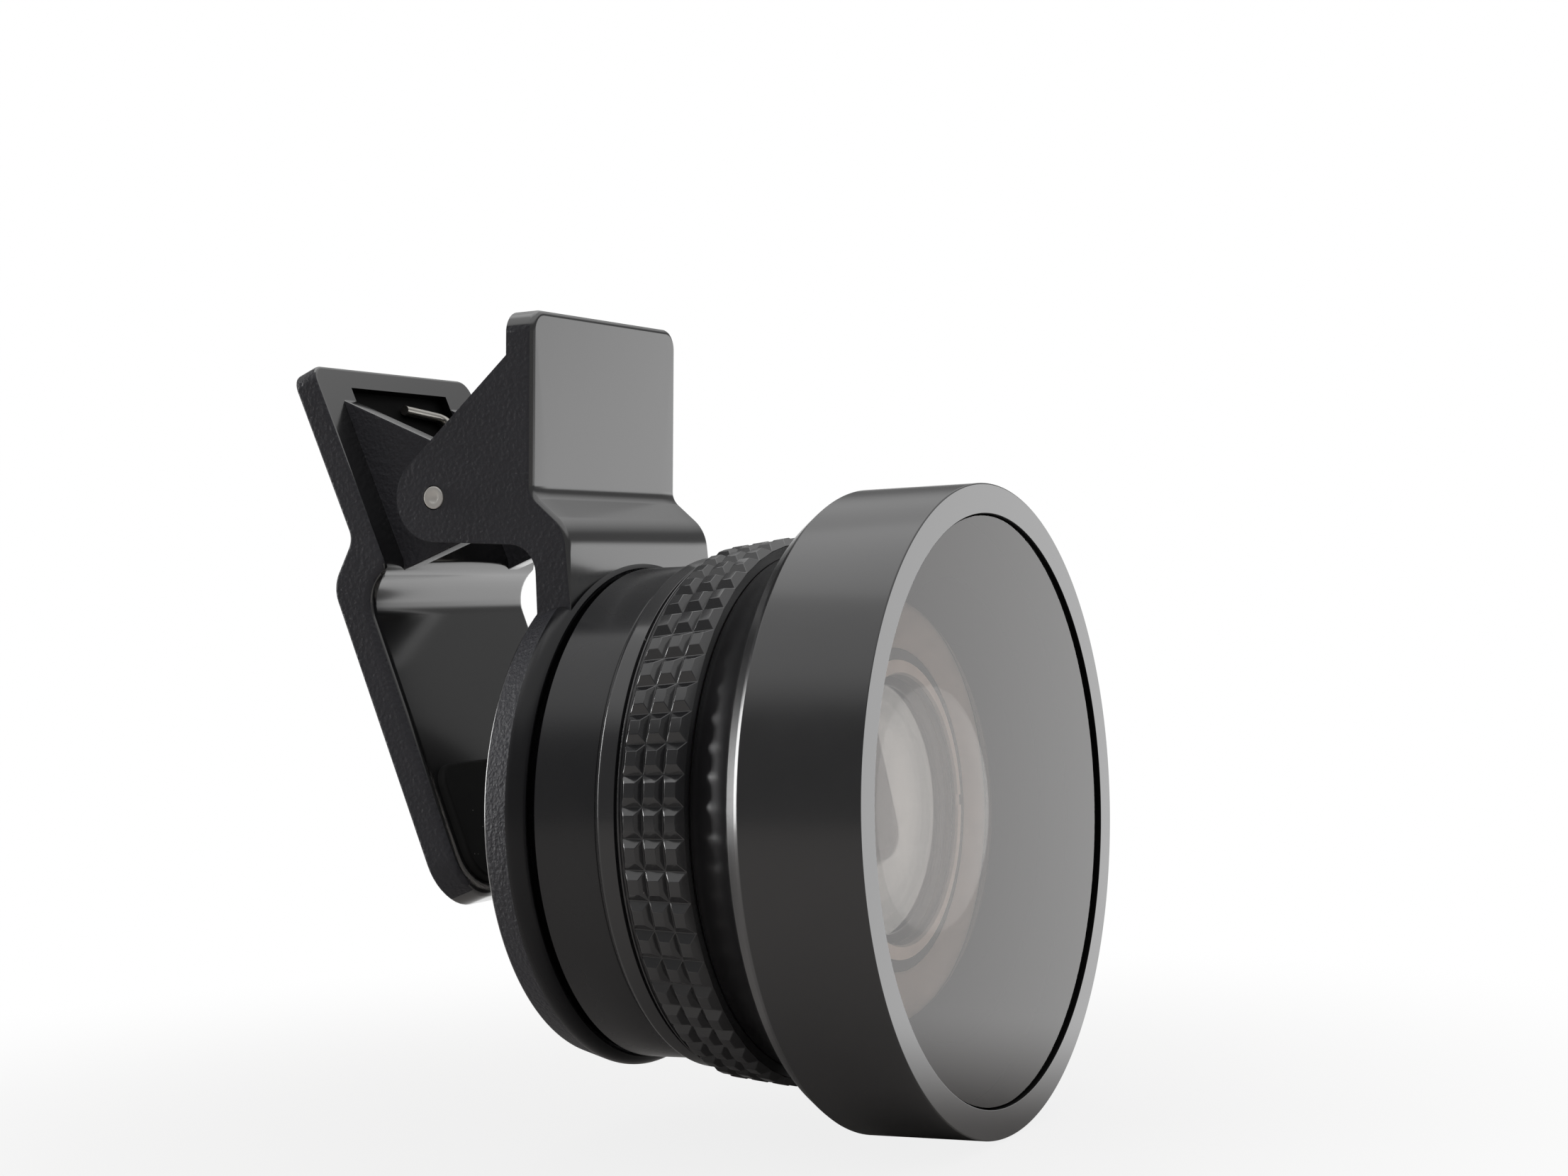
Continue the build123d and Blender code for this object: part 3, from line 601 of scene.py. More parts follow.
@dataclass
class FrontArm:
    """Front handle, outer ears, double bend and ring, moulded in one."""

    top_z: float = 41.9
    lean: float = 3.0
    wall: float = 2.55
    foot: Point = (0.66, 26.8)
    foot_round: float = 1.5
    step: Point = (3.95, 23.8)
    step_round: float = 3.5
    plate_wall: float = 3.2
    corner_r: float = 1.8
    front_edge: float = 0.5
    rim_edge: float = 0.25
    ear_wall: float = 2.6
    ear_r: float = 3.7
    ear_top_z: float = 38.3
    ear_foot_z: float = 22.6
    ear_fillet: float = 2.5
    ring_cut_r: float = 20.35
    pocket: Corner = (28.5, 37.3, 0.8)
    pocket_half: float = 7.3
    plate_foot_z: float = 10.0
    soft_from_z: float = 12.0
    pin_play: float = 0.08
    bead: tuple[Point, ...] = (
        (2.68, 21.2), (3.78, 21.08), (4.2, 20.6), (4.06, 20.22), (3.5, 20.0))
    bead_x: float = 2.66
    face: Point = (3.3, 19.9)
    lip: Point = (1.2, 16.9)
    rear: Corner = (0.23, 20.5, 0.35)
    cone_end: Point = (2.6, 21.18)
    pad_seat_x: float = 0.65
    pad_r: Point = (17.4, 19.7)

    def front_x(self, z: float) -> float:
        """Forward face of the handle at a height."""
        return self.foot[0] + (z - self.foot[1]) * math.tan(math.radians(self.lean))

    def drop(self) -> float:
        """Fall of the bend's inner corners for each millimetre of wall."""
        return math.tan(math.atan2(self.step[0] - self.foot[0], self.foot[1] - self.step[1]) / 2)

    def front_run(self) -> list[Corner]:
        """Corners down the front from the handle's top to the plate's foot inside the ring."""
        return [(self.front_x(self.top_z), self.top_z, 0), (*self.foot, self.foot_round),
                (*self.step, self.step_round), (self.step[0], self.plate_foot_z, 0)]

    def plate_outline(self) -> list[Point]:
        """Side outline of the handle and plate between the ears."""
        fall = self.drop()
        rear_x = self.step[0] - self.plate_wall
        return rounded(self.front_run() + [
            (rear_x, self.plate_foot_z, 0),
            (rear_x, self.step[1] - self.plate_wall * fall, self.foot_round),
            (self.foot[0] - self.wall, self.foot[1] - self.wall * fall, self.step_round),
            (self.front_x(self.top_z) - self.wall, self.top_z, 0)], steps=8)

    def cheek_outline(self) -> list[Point]:
        """Side outline of an ear together with the plate that it grows from."""
        rear_x = self.step[0] - self.plate_wall
        upper = (self.front_x(self.ear_top_z) - self.wall, self.ear_top_z)
        lower = (rear_x, self.ear_foot_z)
        nose = nose_points(upper, lower, self.ear_r, 1)
        below = rounded([(rear_x, self.plate_foot_z, 0), (*lower, self.ear_fillet),
                         (*nose[-1], 0)], steps=8, closed=False)
        front = rounded(self.front_run(), steps=8, closed=False)
        return front + below[:-1] + nose[::-1] + [
            upper, (self.front_x(self.top_z) - self.wall, self.top_z)]

    def is_front(self, face: BMFace) -> bool:
        """Whether a face looks forward across the clip's whole width."""
        return abs(face.normal.y) < 0.01 and face.normal.x > 0.3

    def shape_cheek(self) -> BMesh:
        """Ear and plate side on the far side, with the handle's corner and the soft rims."""
        inner_y = HALF_WIDTH - self.ear_wall
        cheek = prism(self.cheek_outline(), inner_y, HALF_WIDTH)
        soften(cheek, lambda edge: all(
            v.co.z > self.top_z - NEAR and v.co.y > HALF_WIDTH - NEAR for v in edge.verts),
            self.corner_r, 10)
        soften(cheek, lambda edge: sum(map(self.is_front, edge.link_faces)) == 1
               and all(v.co.z > self.soft_from_z for v in edge.verts)
               and any(v.co.y > inner_y + NEAR for v in edge.verts), self.front_edge, 4)
        soften(cheek, lambda edge: all(
            v.co.y > HALF_WIDTH - NEAR and v.co.z > self.soft_from_z for v in edge.verts)
            and crease(edge) > STEEP, self.rim_edge, 3)
        cheek = carved(cheek, self.ring_cutter())
        return carved(cheek, pin_cutter(PIN_R + self.pin_play))

    def ring_cutter(self) -> BMesh:
        """Round blank that ends the plate inside the ring's wall."""
        return spun([(-9, 0), (-9, self.ring_cut_r), (9, self.ring_cut_r), (9, 0)], closed=False)

    def shape_plate(self) -> BMesh:
        """Handle and plate between the ears, with the recess for the spring's leg."""
        inner_y = HALF_WIDTH - self.ear_wall
        plate = prism(self.plate_outline(), -inner_y, inner_y)
        soften(plate, lambda edge: all(v.co.z > self.top_z - NEAR for v in edge.verts)
               and run_y(edge) > 1
               and edge.verts[0].co.x > self.front_x(self.top_z) - NEAR, self.front_edge, 4)
        low, high, depth = self.pocket
        rear = self.front_x(low) - self.wall, self.front_x(high) - self.wall
        recess = prism([(rear[0] - depth, low), (rear[0] + depth, low),
                        (rear[1] + depth, high), (rear[1] - depth, high)],
                       -self.pocket_half, self.pocket_half)
        return carved(carved(plate, recess), self.ring_cutter())

    def ring_outline(self) -> list[Point]:
        """Section of the ring: lip, textured cone, rounded bead, face and threaded bore."""
        bead = arc_through(*self.bead[:3], 10)
        bead += arc_through(*self.bead[2:], 6)[1:]
        bore = thread_outline(self.face[0], self.lip[0], FEMALE_R, THREAD_DEPTH)
        rear_x, (inner, outer) = self.rear[0], self.pad_r
        back = rounded([
            (*self.lip, 0), (rear_x, self.lip[1], 0), (rear_x, inner, 0),
            (self.pad_seat_x, inner, 0), (self.pad_seat_x, outer, 0), (rear_x, outer, 0),
            self.rear, (*self.cone_end, 0)], steps=4, closed=False)
        return bead + [self.face] + bore + back

    def arm_finish(self, face: BMFace, _: Vector) -> int:
        """Texture on the moulding's sides and rear, gloss in front."""
        textured = abs(face.normal.y) > 0.95 or face.normal.x < -0.2
        return ClipFace.TEXTURED if textured else ClipFace.GLOSS

    def ring_finish(self, face: BMFace, middle: Vector) -> int:
        """Satin bead, textured cone and gloss behind it."""
        if middle.x > self.bead_x:
            return ClipFace.THIRD
        textured = (0.3 < middle.x < self.bead_x and middle.yz.length > 20.1
                    and face.normal.x > -0.35)
        return ClipFace.TEXTURED if textured else ClipFace.GLOSS

    def build(self, finishes: Finishes) -> None:
        """Makes the moulding."""
        cheek = self.shape_cheek()
        arm = joined([cheek, mirrored(cheek), self.shape_plate()])
        paint(arm, self.arm_finish)
        ring = spun(self.ring_outline())
        paint(ring, self.ring_finish)
        add_piece("front_arm_moulding", joined([arm, ring]), Body.CLIP,
                  [finishes["gloss_moulding"], finishes["textured_moulding"],
                   finishes["satin_moulding"]], ["clip_front_arm"])


def thread_outline(start_x: float, end_x: float, radius: float, depth: float,
                   pitch: float = 0.75) -> list[Point]:
    """Ridges of a fine thread along a bore or a neck.

    Args:
        start_x: where the thread starts along the axis.
        end_x: where it ends.
        radius: radius of the crests.
        depth: how far the roots lie from the crests, positive for outward.
        pitch: distance between crests.

    Returns:
        The points of the thread's section.
    """
    span = end_x - start_x
    count = max(1, round(abs(span) / pitch))
    points = [(start_x, radius)]
    for ridge in range(count):
        for share, level in ((0.12, 0.0), (0.45, depth), (0.62, depth), (0.95, 0.0)):
            points.append((start_x + span * (ridge + share) / count, radius + level))
    points.append((end_x, radius))
    return points


@dataclass
class RearArm:
    """Rear handle, inner ears, fold and jaw, moulded in one, with its pad."""

    ledge: Point = (-13.88, 21.4)
    handle_lean: float = 21.6
    handle_length: float = 18.97
    handle_wall: float = 2.3
    corner_r: float = 1.5
    fold_up: float = 3.65
    fold_round: float = 1.8
    channel: Point = (-16.09, 19.31)
    channel_round: float = 3.2
    jaw_lean: float = 19.8
    jaw_length: float = 27.23
    jaw_wall: float = 3.0
    jaw_corner_r: float = 4.0
    jaw_edge: float = 0.8
    elbow_up: float = 1.8
    elbow_round: float = 3.0
    edge: float = 0.3
    ear_r: float = 3.75
    ear_wall: float = 1.8
    ear_outer_y: float = 9.15
    ear_up: float = 15.8
    ear_foot: Point = (-14.0, 21.28)
    pocket: tuple[float, float] = (5.97, 17.07)
    pocket_depth: float = 0.8
    pocket_half: float = 7.3
    pad_top: float = 11.6
    pad_margin: float = 1.1
    pad_round: float = 2.0
    pad_wall: float = 1.0
    pad_edge: float = 0.3
    pad_sunk: float = 0.3
    pin_play: float = 0.05

    def on_handle(self, up: float, out: float) -> Point:
        """Point up the handle's inner face from the ledge, and out to the rear."""
        return along(self.ledge, self.handle_lean, up, out)

    def on_jaw(self, up: float, out: float) -> Point:
        """Point up the jaw's inner face from the channel, and out to the rear."""
        return along(self.channel, self.jaw_lean, up, out)

    def outline(self) -> list[Point]:
        """Side outline of the handle, fold and jaw."""
        length, wall = self.handle_length, self.handle_wall
        return rounded([
            (*self.on_handle(length, 0), 0),
            (*self.on_handle(length, wall), 0),
            (*self.on_handle(self.fold_up, wall), self.fold_round),
            (*self.on_jaw(self.elbow_up, self.jaw_wall), self.elbow_round),
            (*self.on_jaw(-self.jaw_length, self.jaw_wall), 0),
            (*self.on_jaw(-self.jaw_length, 0), 0),
            (*self.channel, self.channel_round),
            (*self.ledge, 0)], steps=8)

    def shape_plate(self) -> BMesh:
        """Handle and jaw with their rounded corners and edges."""
        plate = prism(self.outline(), -HALF_WIDTH, HALF_WIDTH)
        ends = ((self.handle_length, self.on_handle, self.handle_wall, self.corner_r),
                (-self.jaw_length, self.on_jaw, self.jaw_wall, self.jaw_corner_r))
        for up, place, wall, radius in ends:
            x, z = place(up, wall / 2)
            middle = Vector((x, 0, z))
            soften(plate, lambda edge: (
                (edge.verts[0].co + edge.verts[1].co) / 2 * Vector((1, 0, 1)) - middle
            ).length < 0.05 and run_y(edge) < NEAR, radius, 10)
        soften(plate, lambda edge: crease(edge) > STEEP
               and any(face.normal.x > 0.5 for face in edge.link_faces)
               and all(v.co.z < self.ledge[1] + 0.1 for v in edge.verts), self.jaw_edge, 4)
        soften(plate, lambda edge: crease(edge) > STEEP, self.edge, 3)
        low, high = self.pocket
        recess = prism([self.on_handle(up, out * self.pocket_depth) for up, out in (
            (low, -1), (low, 1), (high, 1), (high, -1))], -self.pocket_half, self.pocket_half)
        return carved(plate, recess)

    def in_pocket(self, place: Vector) -> bool:
        """Whether a point lies on the walls or the floor of the recess for the spring."""
        low, high = (Vector(self.on_handle(up, self.pocket_depth)) for up in self.pocket)
        run = high - low
        offset = Vector((place.x, place.z)) - low
        up = offset.dot(run) / run.length
        out = offset.cross(run) / run.length
        return (abs(place.y) < self.pocket_half + NEAR and -NEAR < up < run.length + NEAR
                and abs(out) < self.pocket_depth - 0.05)

    def shape_ear(self) -> BMesh:
        """Inner ear on the far side."""
        inside = self.handle_wall / 2
        upper = self.on_handle(self.ear_up, 0)
        nose = nose_points(upper, self.ear_foot, self.ear_r, -1)
        outline = nose + [self.ear_foot, self.on_handle(0, inside),
                          self.on_handle(self.ear_up, inside), upper]
        ear = prism(outline, self.ear_outer_y - self.ear_wall, self.ear_outer_y)
        soften(ear, lambda edge: crease(edge) > STEEP and run_y(edge) < NEAR, 0.2, 2)
        return carved(ear, pin_cutter(PIN_R + self.pin_play))

    def pad(self) -> BMesh:
        """Soft pad on the jaw's tip, standing slightly proud of it."""
        half_width = HALF_WIDTH - self.pad_margin
        length = self.pad_top - self.pad_margin
        top, tip = self.pad_round, self.jaw_corner_r - self.pad_margin
        outline = rounded([(0, -half_width, top), (length, -half_width, tip),
                           (length, half_width, tip), (0, half_width, top)], steps=8)
        bm = extruded([(down, side, 0) for down, side in outline], (0, 0, self.pad_wall))
        soften(bm, lambda edge: all(v.co.z > self.pad_wall / 2 for v in edge.verts),
               self.pad_edge, 3)
        lean = math.radians(self.jaw_lean)
        start = self.on_jaw(self.pad_top - self.jaw_length, self.pad_sunk)
        down = Vector((math.sin(lean), 0, -math.cos(lean)))
        out = Vector((math.cos(lean), 0, math.sin(lean)))
        place = Matrix((down, (0, 1, 0), out)).transposed().to_4x4()
        place.translation = (start[0], 0, start[1])
        bmesh.ops.transform(bm, matrix=place, verts=bm.verts)
        return bm

    def arm_finish(self, face: BMFace, middle: Vector) -> int:
        """Recess painted near-black as painted shade, textured sides and gloss elsewhere."""
        # The spring recess is painted near-black: painted shade where the gap lies in shadow.
        if self.in_pocket(middle):
            return ClipFace.THIRD
        return ClipFace.TEXTURED if abs(face.normal.y) > 0.6 else ClipFace.GLOSS

    def build(self, finishes: Finishes) -> None:
        """Makes the moulding and its pad."""
        ear = self.shape_ear()
        arm = joined([self.shape_plate(), ear, mirrored(ear)])
        paint(arm, self.arm_finish)
        add_piece("rear_arm_moulding", arm, Body.REAR_ARM,
                  [finishes["gloss_moulding"], finishes["textured_moulding"],
                   finishes["inner_black_and_painted_shade"]], ["clip_rear_arm"])
        add_piece("jaw_pad_soft", self.pad(), Body.REAR_ARM, [finishes["pad_rubber"]],
                  ["jaw_pad"])


@dataclass
class HingeParts:
    """Pin and torsion spring."""

    overhang: float = 0.1
    wire_r: float = 0.44
    coil_r: float = 2.2
    pitch: float = 1.1
    whole_turns: int = 11
    bar: float = 6.0
    bar_rise: float = 0.6
    rear_up: float = 14.87
    front_z: float = 35.6
    wire_gap: float = 0.05
    bend_r: float = 1.2
    rear_turns: float = 0.75

    def pin(self) -> BMesh:
        """Pin with bevelled ends and a dimple in each."""
        half = HALF_WIDTH + self.overhang
        end = [(half - 0.22, 0, 0), (half - 0.05, 0.45, 0), (half, 0.55, 0), (half, PIN_R, 0.12)]
        outline = rounded([(-x, radius, edge) for x, radius, edge in end] + end[::-1], steps=4,
                          closed=False)
        bm = spun(outline, closed=False, segments=48)
        bmesh.ops.rotate(bm, cent=(0, 0, 0), matrix=Matrix.Rotation(math.pi / 2, 3, "Z"),
                         verts=bm.verts)
        bmesh.ops.translate(bm, verts=bm.verts, vec=(PIN[0], 0, PIN[1]))
        return bm

    def wire(self, path: Sequence[Vector]) -> BMesh:
        """Round wire with rounded ends along a path of points."""
        curve = bpy.data.curves.new("wire", "CURVE")
        curve.dimensions = "3D"
        curve.bevel_depth = self.wire_r
        curve.bevel_resolution = 5
        curve.use_fill_caps = True
        spline = curve.splines.new("POLY")
        spline.points.add(len(path) - 1)
        for point, place in zip(spline.points, path):
            point.co = (*place, 1.0)
        bm = evaluated(placed("wire", curve))
        bmesh.ops.remove_doubles(bm, verts=bm.verts, dist=DOUBLES)
        bmesh.ops.recalc_face_normals(bm, faces=bm.faces)
        return bm

    def turns(self, start: float, angle: float, y: float) -> list[Vector]:
        """Points along the coil.

        Args:
            start: direction from the pin where it starts, in radians.
            angle: how far it winds, in radians.
            y: where it starts across the clip.

        Returns:
            The points in order.
        """
        steps = max(2, round(abs(angle) * 5))
        path = []
        for step in range(steps + 1):
            x, z = about_pin(self.coil_r, start - angle * step / steps)
            path.append(Vector((x, y + self.pitch * angle * step / steps / math.tau, z)))
        return path

    def leg(self, touch: Vector, bar: Point, end_y: float, rise: Point) -> list[Vector]:
        """Points of a leg from the coil to its bar across the handle, with a round bend."""
        corner = Vector((bar[0], touch.y, bar[1]))
        tip = Vector((bar[0] + rise[0], end_y, bar[1] + rise[1]))
        back = (touch - corner).normalized()
        ahead = (tip - corner).normalized()
        bend = [corner + back * self.bend_r * (1 - share) ** 2 + ahead * self.bend_r * share ** 2
                for share in (0.0, 0.15, 0.3, 0.45, 0.6, 0.75, 0.9, 1.0)]
        return bend + [tip]

    def build(self, finishes: Finishes, front: FrontArm, rear: RearArm) -> None:
        """Makes the pin, the coil with its front leg, and the rear leg with the coil's end.

        Args:
            finishes: every finish.
            front: the front arm, which takes one leg.
            rear: the rear arm, which takes the other.
        """
        add_piece("staked_pin", self.pin(), Body.CLIP, [finishes["nickel_plate"]],
                  ["hinge_pin"])
        seat = rear.pocket_depth - self.wire_r - self.wire_gap
        rear_bar = rear.on_handle(self.rear_up, seat)
        rear_tip = along((0, 0), rear.handle_lean, self.bar_rise, 0)
        front_bar = (front.front_x(self.front_z) - front.wall + seat, self.front_z)
        start = tangent_angle(front_bar, self.coil_r, -1)
        end = tangent_angle(rear_bar, self.coil_r, 1)
        whole = self.whole_turns * math.tau + (start - end) % math.tau
        half = whole * self.pitch / math.tau / 2
        last = math.tau * self.rear_turns
        coil = self.turns(start, whole - last, -half)
        front_leg = self.leg(coil[0], front_bar, -half + self.bar, (0, self.bar_rise))
        tail = self.turns(end + last, last, half - self.pitch * last / math.tau)
        rear_leg = self.leg(tail[-1], rear_bar, half - self.bar, rear_tip)
        coil_piece = add_piece("spring_coil", self.wire(front_leg[::-1] + coil), Body.CLIP,
                               [finishes["spring_wire"]], ())
        leg_piece = add_piece("spring_rear_leg", self.wire(tail + rear_leg), Body.REAR_ARM,
                              [finishes["spring_wire"]], ())
        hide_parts("torsion_spring")
        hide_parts("torsion_spring")


@dataclass
class MacroLens:
    """Turned macro barrel and its cemented glass."""

    rear_x: float = 1.25
    lead: float = 0.3
    neck_x: float = 4.88
    front_x: float = 10.44
    front_lead: float = 0.1
    thread_end_x: float = 7.6
    floor_x: float = 7.4
    outer_r: float = 20.54
    seat_x: float = 2.0
    seat_r: float = 15.2
    seat_gap: float = 0.02
    glass: float = 3.56
    front_curve: float = 70.0
    edge: float = 0.14

    def outline(self) -> list[Point]:
        """Section of the barrel."""
        neck_end = self.neck_x - RELIEF
        neck = thread_outline(self.rear_x + self.lead, neck_end, MALE_R, -THREAD_DEPTH)
        outside = rounded([(neck_end, RELIEF_R, 0), (self.neck_x, RELIEF_R, 0),
                           (self.neck_x, self.outer_r, self.edge),
                           (self.front_x, self.outer_r, self.edge),
                           (self.front_x, FEMALE_R, 0)], steps=4, closed=False)
        inner = thread_outline(self.front_x - self.front_lead, self.thread_end_x, FEMALE_R,
                               THREAD_DEPTH)
        bore = [(self.floor_x, FEMALE_R), (self.floor_x, TUBE_R), (self.seat_x, TUBE_R),
                (self.seat_x, self.seat_r), (self.rear_x, self.seat_r), (self.rear_x, LEAD_R)]
        return neck + outside + inner + bore

    def build(self, finishes: Finishes) -> None:
        """Makes the barrel and its two elements."""
        add_piece("macro_body", spun(self.outline()), Body.MACRO_LENS,
                  [finishes["barrel_anodised"]], ["macro_barrel"])
        cemented(self.seat_x + self.seat_gap, self.glass, self.front_curve, "macro",
                 Body.MACRO_TRAVEL, finishes)


def cemented(seat_x: float, glass: float, front: float, name: str, body: Body,
             finishes: Finishes) -> None:
    """Makes a cemented pair of elements.

    Args:
        seat_x: rear face of the pair along the axis.
        glass: its thickness at the rim.
        front: radius of the front surface.
        name: start of the pieces' names and of the nodes that they replace.
        body: the body that they ride on.
        finishes: every finish.
    """
    radius = INNER_GLASS_R
    shared = seat_x + glass - CROWN_RIM
    flint = lens_curve(seat_x, radius, 0) + lens_curve(shared - CEMENT_GAP, radius, -CEMENT_CURVE)[::-1]
    crown = lens_curve(shared, radius, -CEMENT_CURVE)
    crown += lens_curve(seat_x + glass, radius, front)[::-1]
    for kind, outline in (("flint", flint), ("crown", crown)):
        add_piece(f"{name}_{kind}", spun(outline, closed=False, segments=INNER_GLASS_TURN), body,
                  [finishes["inner_glass"]], [f"{name}_{kind}_element"])


@dataclass
class WideLens:
    """Wide-angle lens: grip barrel, hood, front glass and the elements inside."""

    collar_x: float = 10.5
    collar_r: float = 21.2
    bevel: float = 0.58
    lip_x: float = 12.95
    lip_r: float = 21.5
    knurl_x: float = 13.3
    rows: int = 3
    teeth: int = 56
    pitch: float = 1.9
    flat: float = 0.93
    knurl_r: float = 21.93
    cone: float = 6.0
    depth: float = 0.55
    groove: float = 1.36
    phase: float = 88.0
    hood_x: float = 19.06
    hood_r: float = 26.0
    front_x: float = 35.6
    bore_r: float = 23.56
    glass_rear_x: float = 24.6
    glass_wall: float = 10.7
    glass_r: float = 23.51
    glass_edge: float = 0.1
    hollow_r: float = 18.5
    hollow_curve: float = 27.0
    front_curve: float = 1500.0
    rear_x: float = 7.5
    thread_x: float = 7.7
    seat: Point = (8.2, 14.5)
    tube_end_x: float = 16.6
    spigot_r: float = 19.95
    rear_glass_x: float = 8.22
    rear_glass: float = 3.58
    rear_glass_curve: float = 90.0
    middle_x: Point = (13.58, 15.38)
    middle_r: float = 15.2
    middle_curves: Point = (55.0, 80.0)

    def knurl_base(self, x: float) -> float:
        """Radius at the bottom of the grooves."""
        return self.knurl_r - self.depth + (x - self.knurl_x) * math.tan(math.radians(self.cone))

    def grip_outline(self) -> list[Point]:
        """Section of the grip barrel under its knurled band."""
        end_x = self.knurl_x + self.rows * self.pitch
        relief_x = self.collar_x - RELIEF
        male = thread_outline(self.thread_x, relief_x, MALE_R, -THREAD_DEPTH)
        outside = rounded([
            (relief_x, RELIEF_R, 0), (self.collar_x, RELIEF_R, 0),
            (self.collar_x, self.collar_r - self.bevel, 0.05),
            (self.collar_x + self.bevel, self.collar_r, 0.5),
            (self.lip_x - 0.45, self.collar_r, 0.06),
            (self.lip_x - 0.42, self.collar_r - 0.4, 0.05),
            (self.lip_x, self.collar_r - 0.4, 0.05), (self.lip_x, self.lip_r, 0.09),
            (self.lip_x + 0.17, self.lip_r, 0.06),
            (self.lip_x + 0.19, self.lip_r - 0.14, 0.04),
            (self.knurl_x, self.lip_r - 0.1, 0.05),
            (self.knurl_x + 0.02, self.knurl_base(self.knurl_x) - 0.12, 0),
            (end_x, self.knurl_base(end_x) - 0.12, 0), (end_x, self.spigot_r, 0),
            (self.tube_end_x, self.spigot_r, 0)], steps=4, closed=False)
        bore = [(self.tube_end_x, TUBE_R), (self.seat[0], TUBE_R), self.seat,
                (self.rear_x, self.seat[1]), (self.rear_x, LEAD_R)]
        return male + outside + bore

    def knurl(self) -> BMesh:
        """Band of truncated pyramids wrapped round the cone."""
        inset = (self.pitch - self.flat) / 2
        arc = math.tau * self.knurl_r / self.teeth
        squeezed = 2 * inset / (self.groove / arc)
        bm = bmesh.new()
        bmesh.ops.create_grid(bm, x_segments=self.rows, y_segments=self.teeth, size=0.5)
        bmesh.ops.scale(bm, vec=(self.rows * self.pitch, self.teeth * squeezed, 1),
                        verts=bm.verts)
        bmesh.ops.inset_individual(bm, faces=bm.faces[:], thickness=inset, depth=self.depth,
                                   use_even_offset=True)
        soften(bm, lambda edge: crease(edge) > 20, 0.035, 1)
        middle = self.rows * self.pitch / 2
        for vert in bm.verts:
            x = self.knurl_x + middle + vert.co.x
            angle = vert.co.y / squeezed / self.teeth * math.tau
            angle += math.radians(self.phase) + math.pi / self.teeth
            radius = self.knurl_base(x) + vert.co.z
            vert.co = (x, -radius * math.sin(angle), radius * math.cos(angle))
        bmesh.ops.remove_doubles(bm, verts=bm.verts, dist=0.002)
        bm.normal_update()
        outward = sum(face.normal.dot(face.calc_center_median() * Vector((0, 1, 1)))
                      for face in bm.faces)
        if outward < 0:
            bmesh.ops.reverse_faces(bm, faces=bm.faces)
        return bm

    def hood_outline(self) -> list[Point]:
        """Section of the hood: spigot, cove, step, cone, straight hood and bore."""
        x = self.hood_x
        cove = arc_through((x + 0.6, 21.2), (x + 2.75, 22.5), (x + 5.0, 24.8), 20)
        front = rounded([
            (x + 5.0, 24.8, 0), (x + 5.25, 25.05, 0.15), (x + 6.2, 25.75, 0.3),
            (x + 6.6, self.hood_r, 0.3), (self.front_x, self.hood_r, 0.12),
            (self.front_x, self.bore_r, 0.08), (self.glass_rear_x - 0.4, self.bore_r, 0),
            (self.glass_rear_x - 0.4, 18.75, 0), (16.7, 17.6, 0), (16.7, 19.9, 0),
            (x, 19.9, 0), (x, 21.05, 0.05), (x + 0.55, 21.19, 0)], steps=5, closed=False)
        return cove + front[1:]

    def hood_finish(self, face: BMFace, middle: Vector) -> int:
        """Turned front rim, black inside, bore behind the glass painted pale as a painted reflection,
        anodised elsewhere.
        """
        if face.normal.x > 0.9 and middle.x > self.front_x - 0.02:
            return LensFace.RIM
        inward = face.normal.yz.dot(middle.yz) < 0.3 * middle.yz.length
        if inward and middle.x > self.tube_end_x:
            # Inside faces behind the glass take the pale colour that paints a reflection there.
            return LensFace.BORE if middle.x < self.glass_rear_x - 0.5 else LensFace.BLACK
        return LensFace.BODY

    def glass_finish(self, _: BMFace, middle: Vector) -> int:
        """Blackened rim and rear annulus, clear elsewhere."""
        front_x = self.glass_rear_x + self.glass_wall
        blackened = middle.yz.length > self.hollow_r and middle.x < front_x - 0.03
        return LensFace.BLACK if blackened else LensFace.BODY

    def build(self, finishes: Finishes) -> None:
        """Makes the barrel, the knurled band, the hood and the glass."""
        grip = joined([spun(self.grip_outline()), self.knurl()])
        add_piece("grip_body", grip, Body.WIDE_LENS, [finishes["grip_anodised"]],
                  ["grip_barrel"], sharp=20.0)
        hood = spun(self.hood_outline(), segments=256)
        paint(hood, self.hood_finish)
        add_piece("hood_body", hood, Body.WIDE_LENS,
                  [finishes["hood_anodised"], finishes["inner_black_and_painted_shade"],
                   finishes["bore_painted_reflection"], finishes["turned_rim"]], ["hood"])
        self.build_glass(finishes)

    def build_glass(self, finishes: Finishes) -> None:
        """Makes the front, middle and rear elements."""
        front_x = self.glass_rear_x + self.glass_wall
        face_r = self.glass_r - self.glass_edge
        front = lens_curve(self.glass_rear_x, self.hollow_r, self.hollow_curve)
        front += [(self.glass_rear_x, self.glass_r), (front_x - self.glass_edge, self.glass_r),
                  (front_x, face_r)]
        front += lens_curve(front_x, face_r, self.front_curve)[-2::-1]
        disc = spun(front, closed=False)
        paint(disc, self.glass_finish)
        add_piece("front_glass", disc, Body.WIDE_LENS,
                  [finishes["front_glass"], finishes["inner_black_and_painted_shade"]], ["front_element"])
        (rear_x, rim_x), (rear_curve, rim_curve) = self.middle_x, self.middle_curves
        middle = lens_curve(rear_x, self.middle_r, rear_curve) + [(rear_x, INNER_GLASS_R)]
        middle += lens_curve(rim_x, INNER_GLASS_R, rim_curve)[::-1]
        add_piece("middle_glass", spun(middle, closed=False, segments=INNER_GLASS_TURN),
                  Body.WIDE_LENS, [finishes["inner_glass"]], ["middle_element"])
        cemented(self.rear_glass_x, self.rear_glass, self.rear_glass_curve, "rear",
                 Body.WIDE_TRAVEL, finishes)


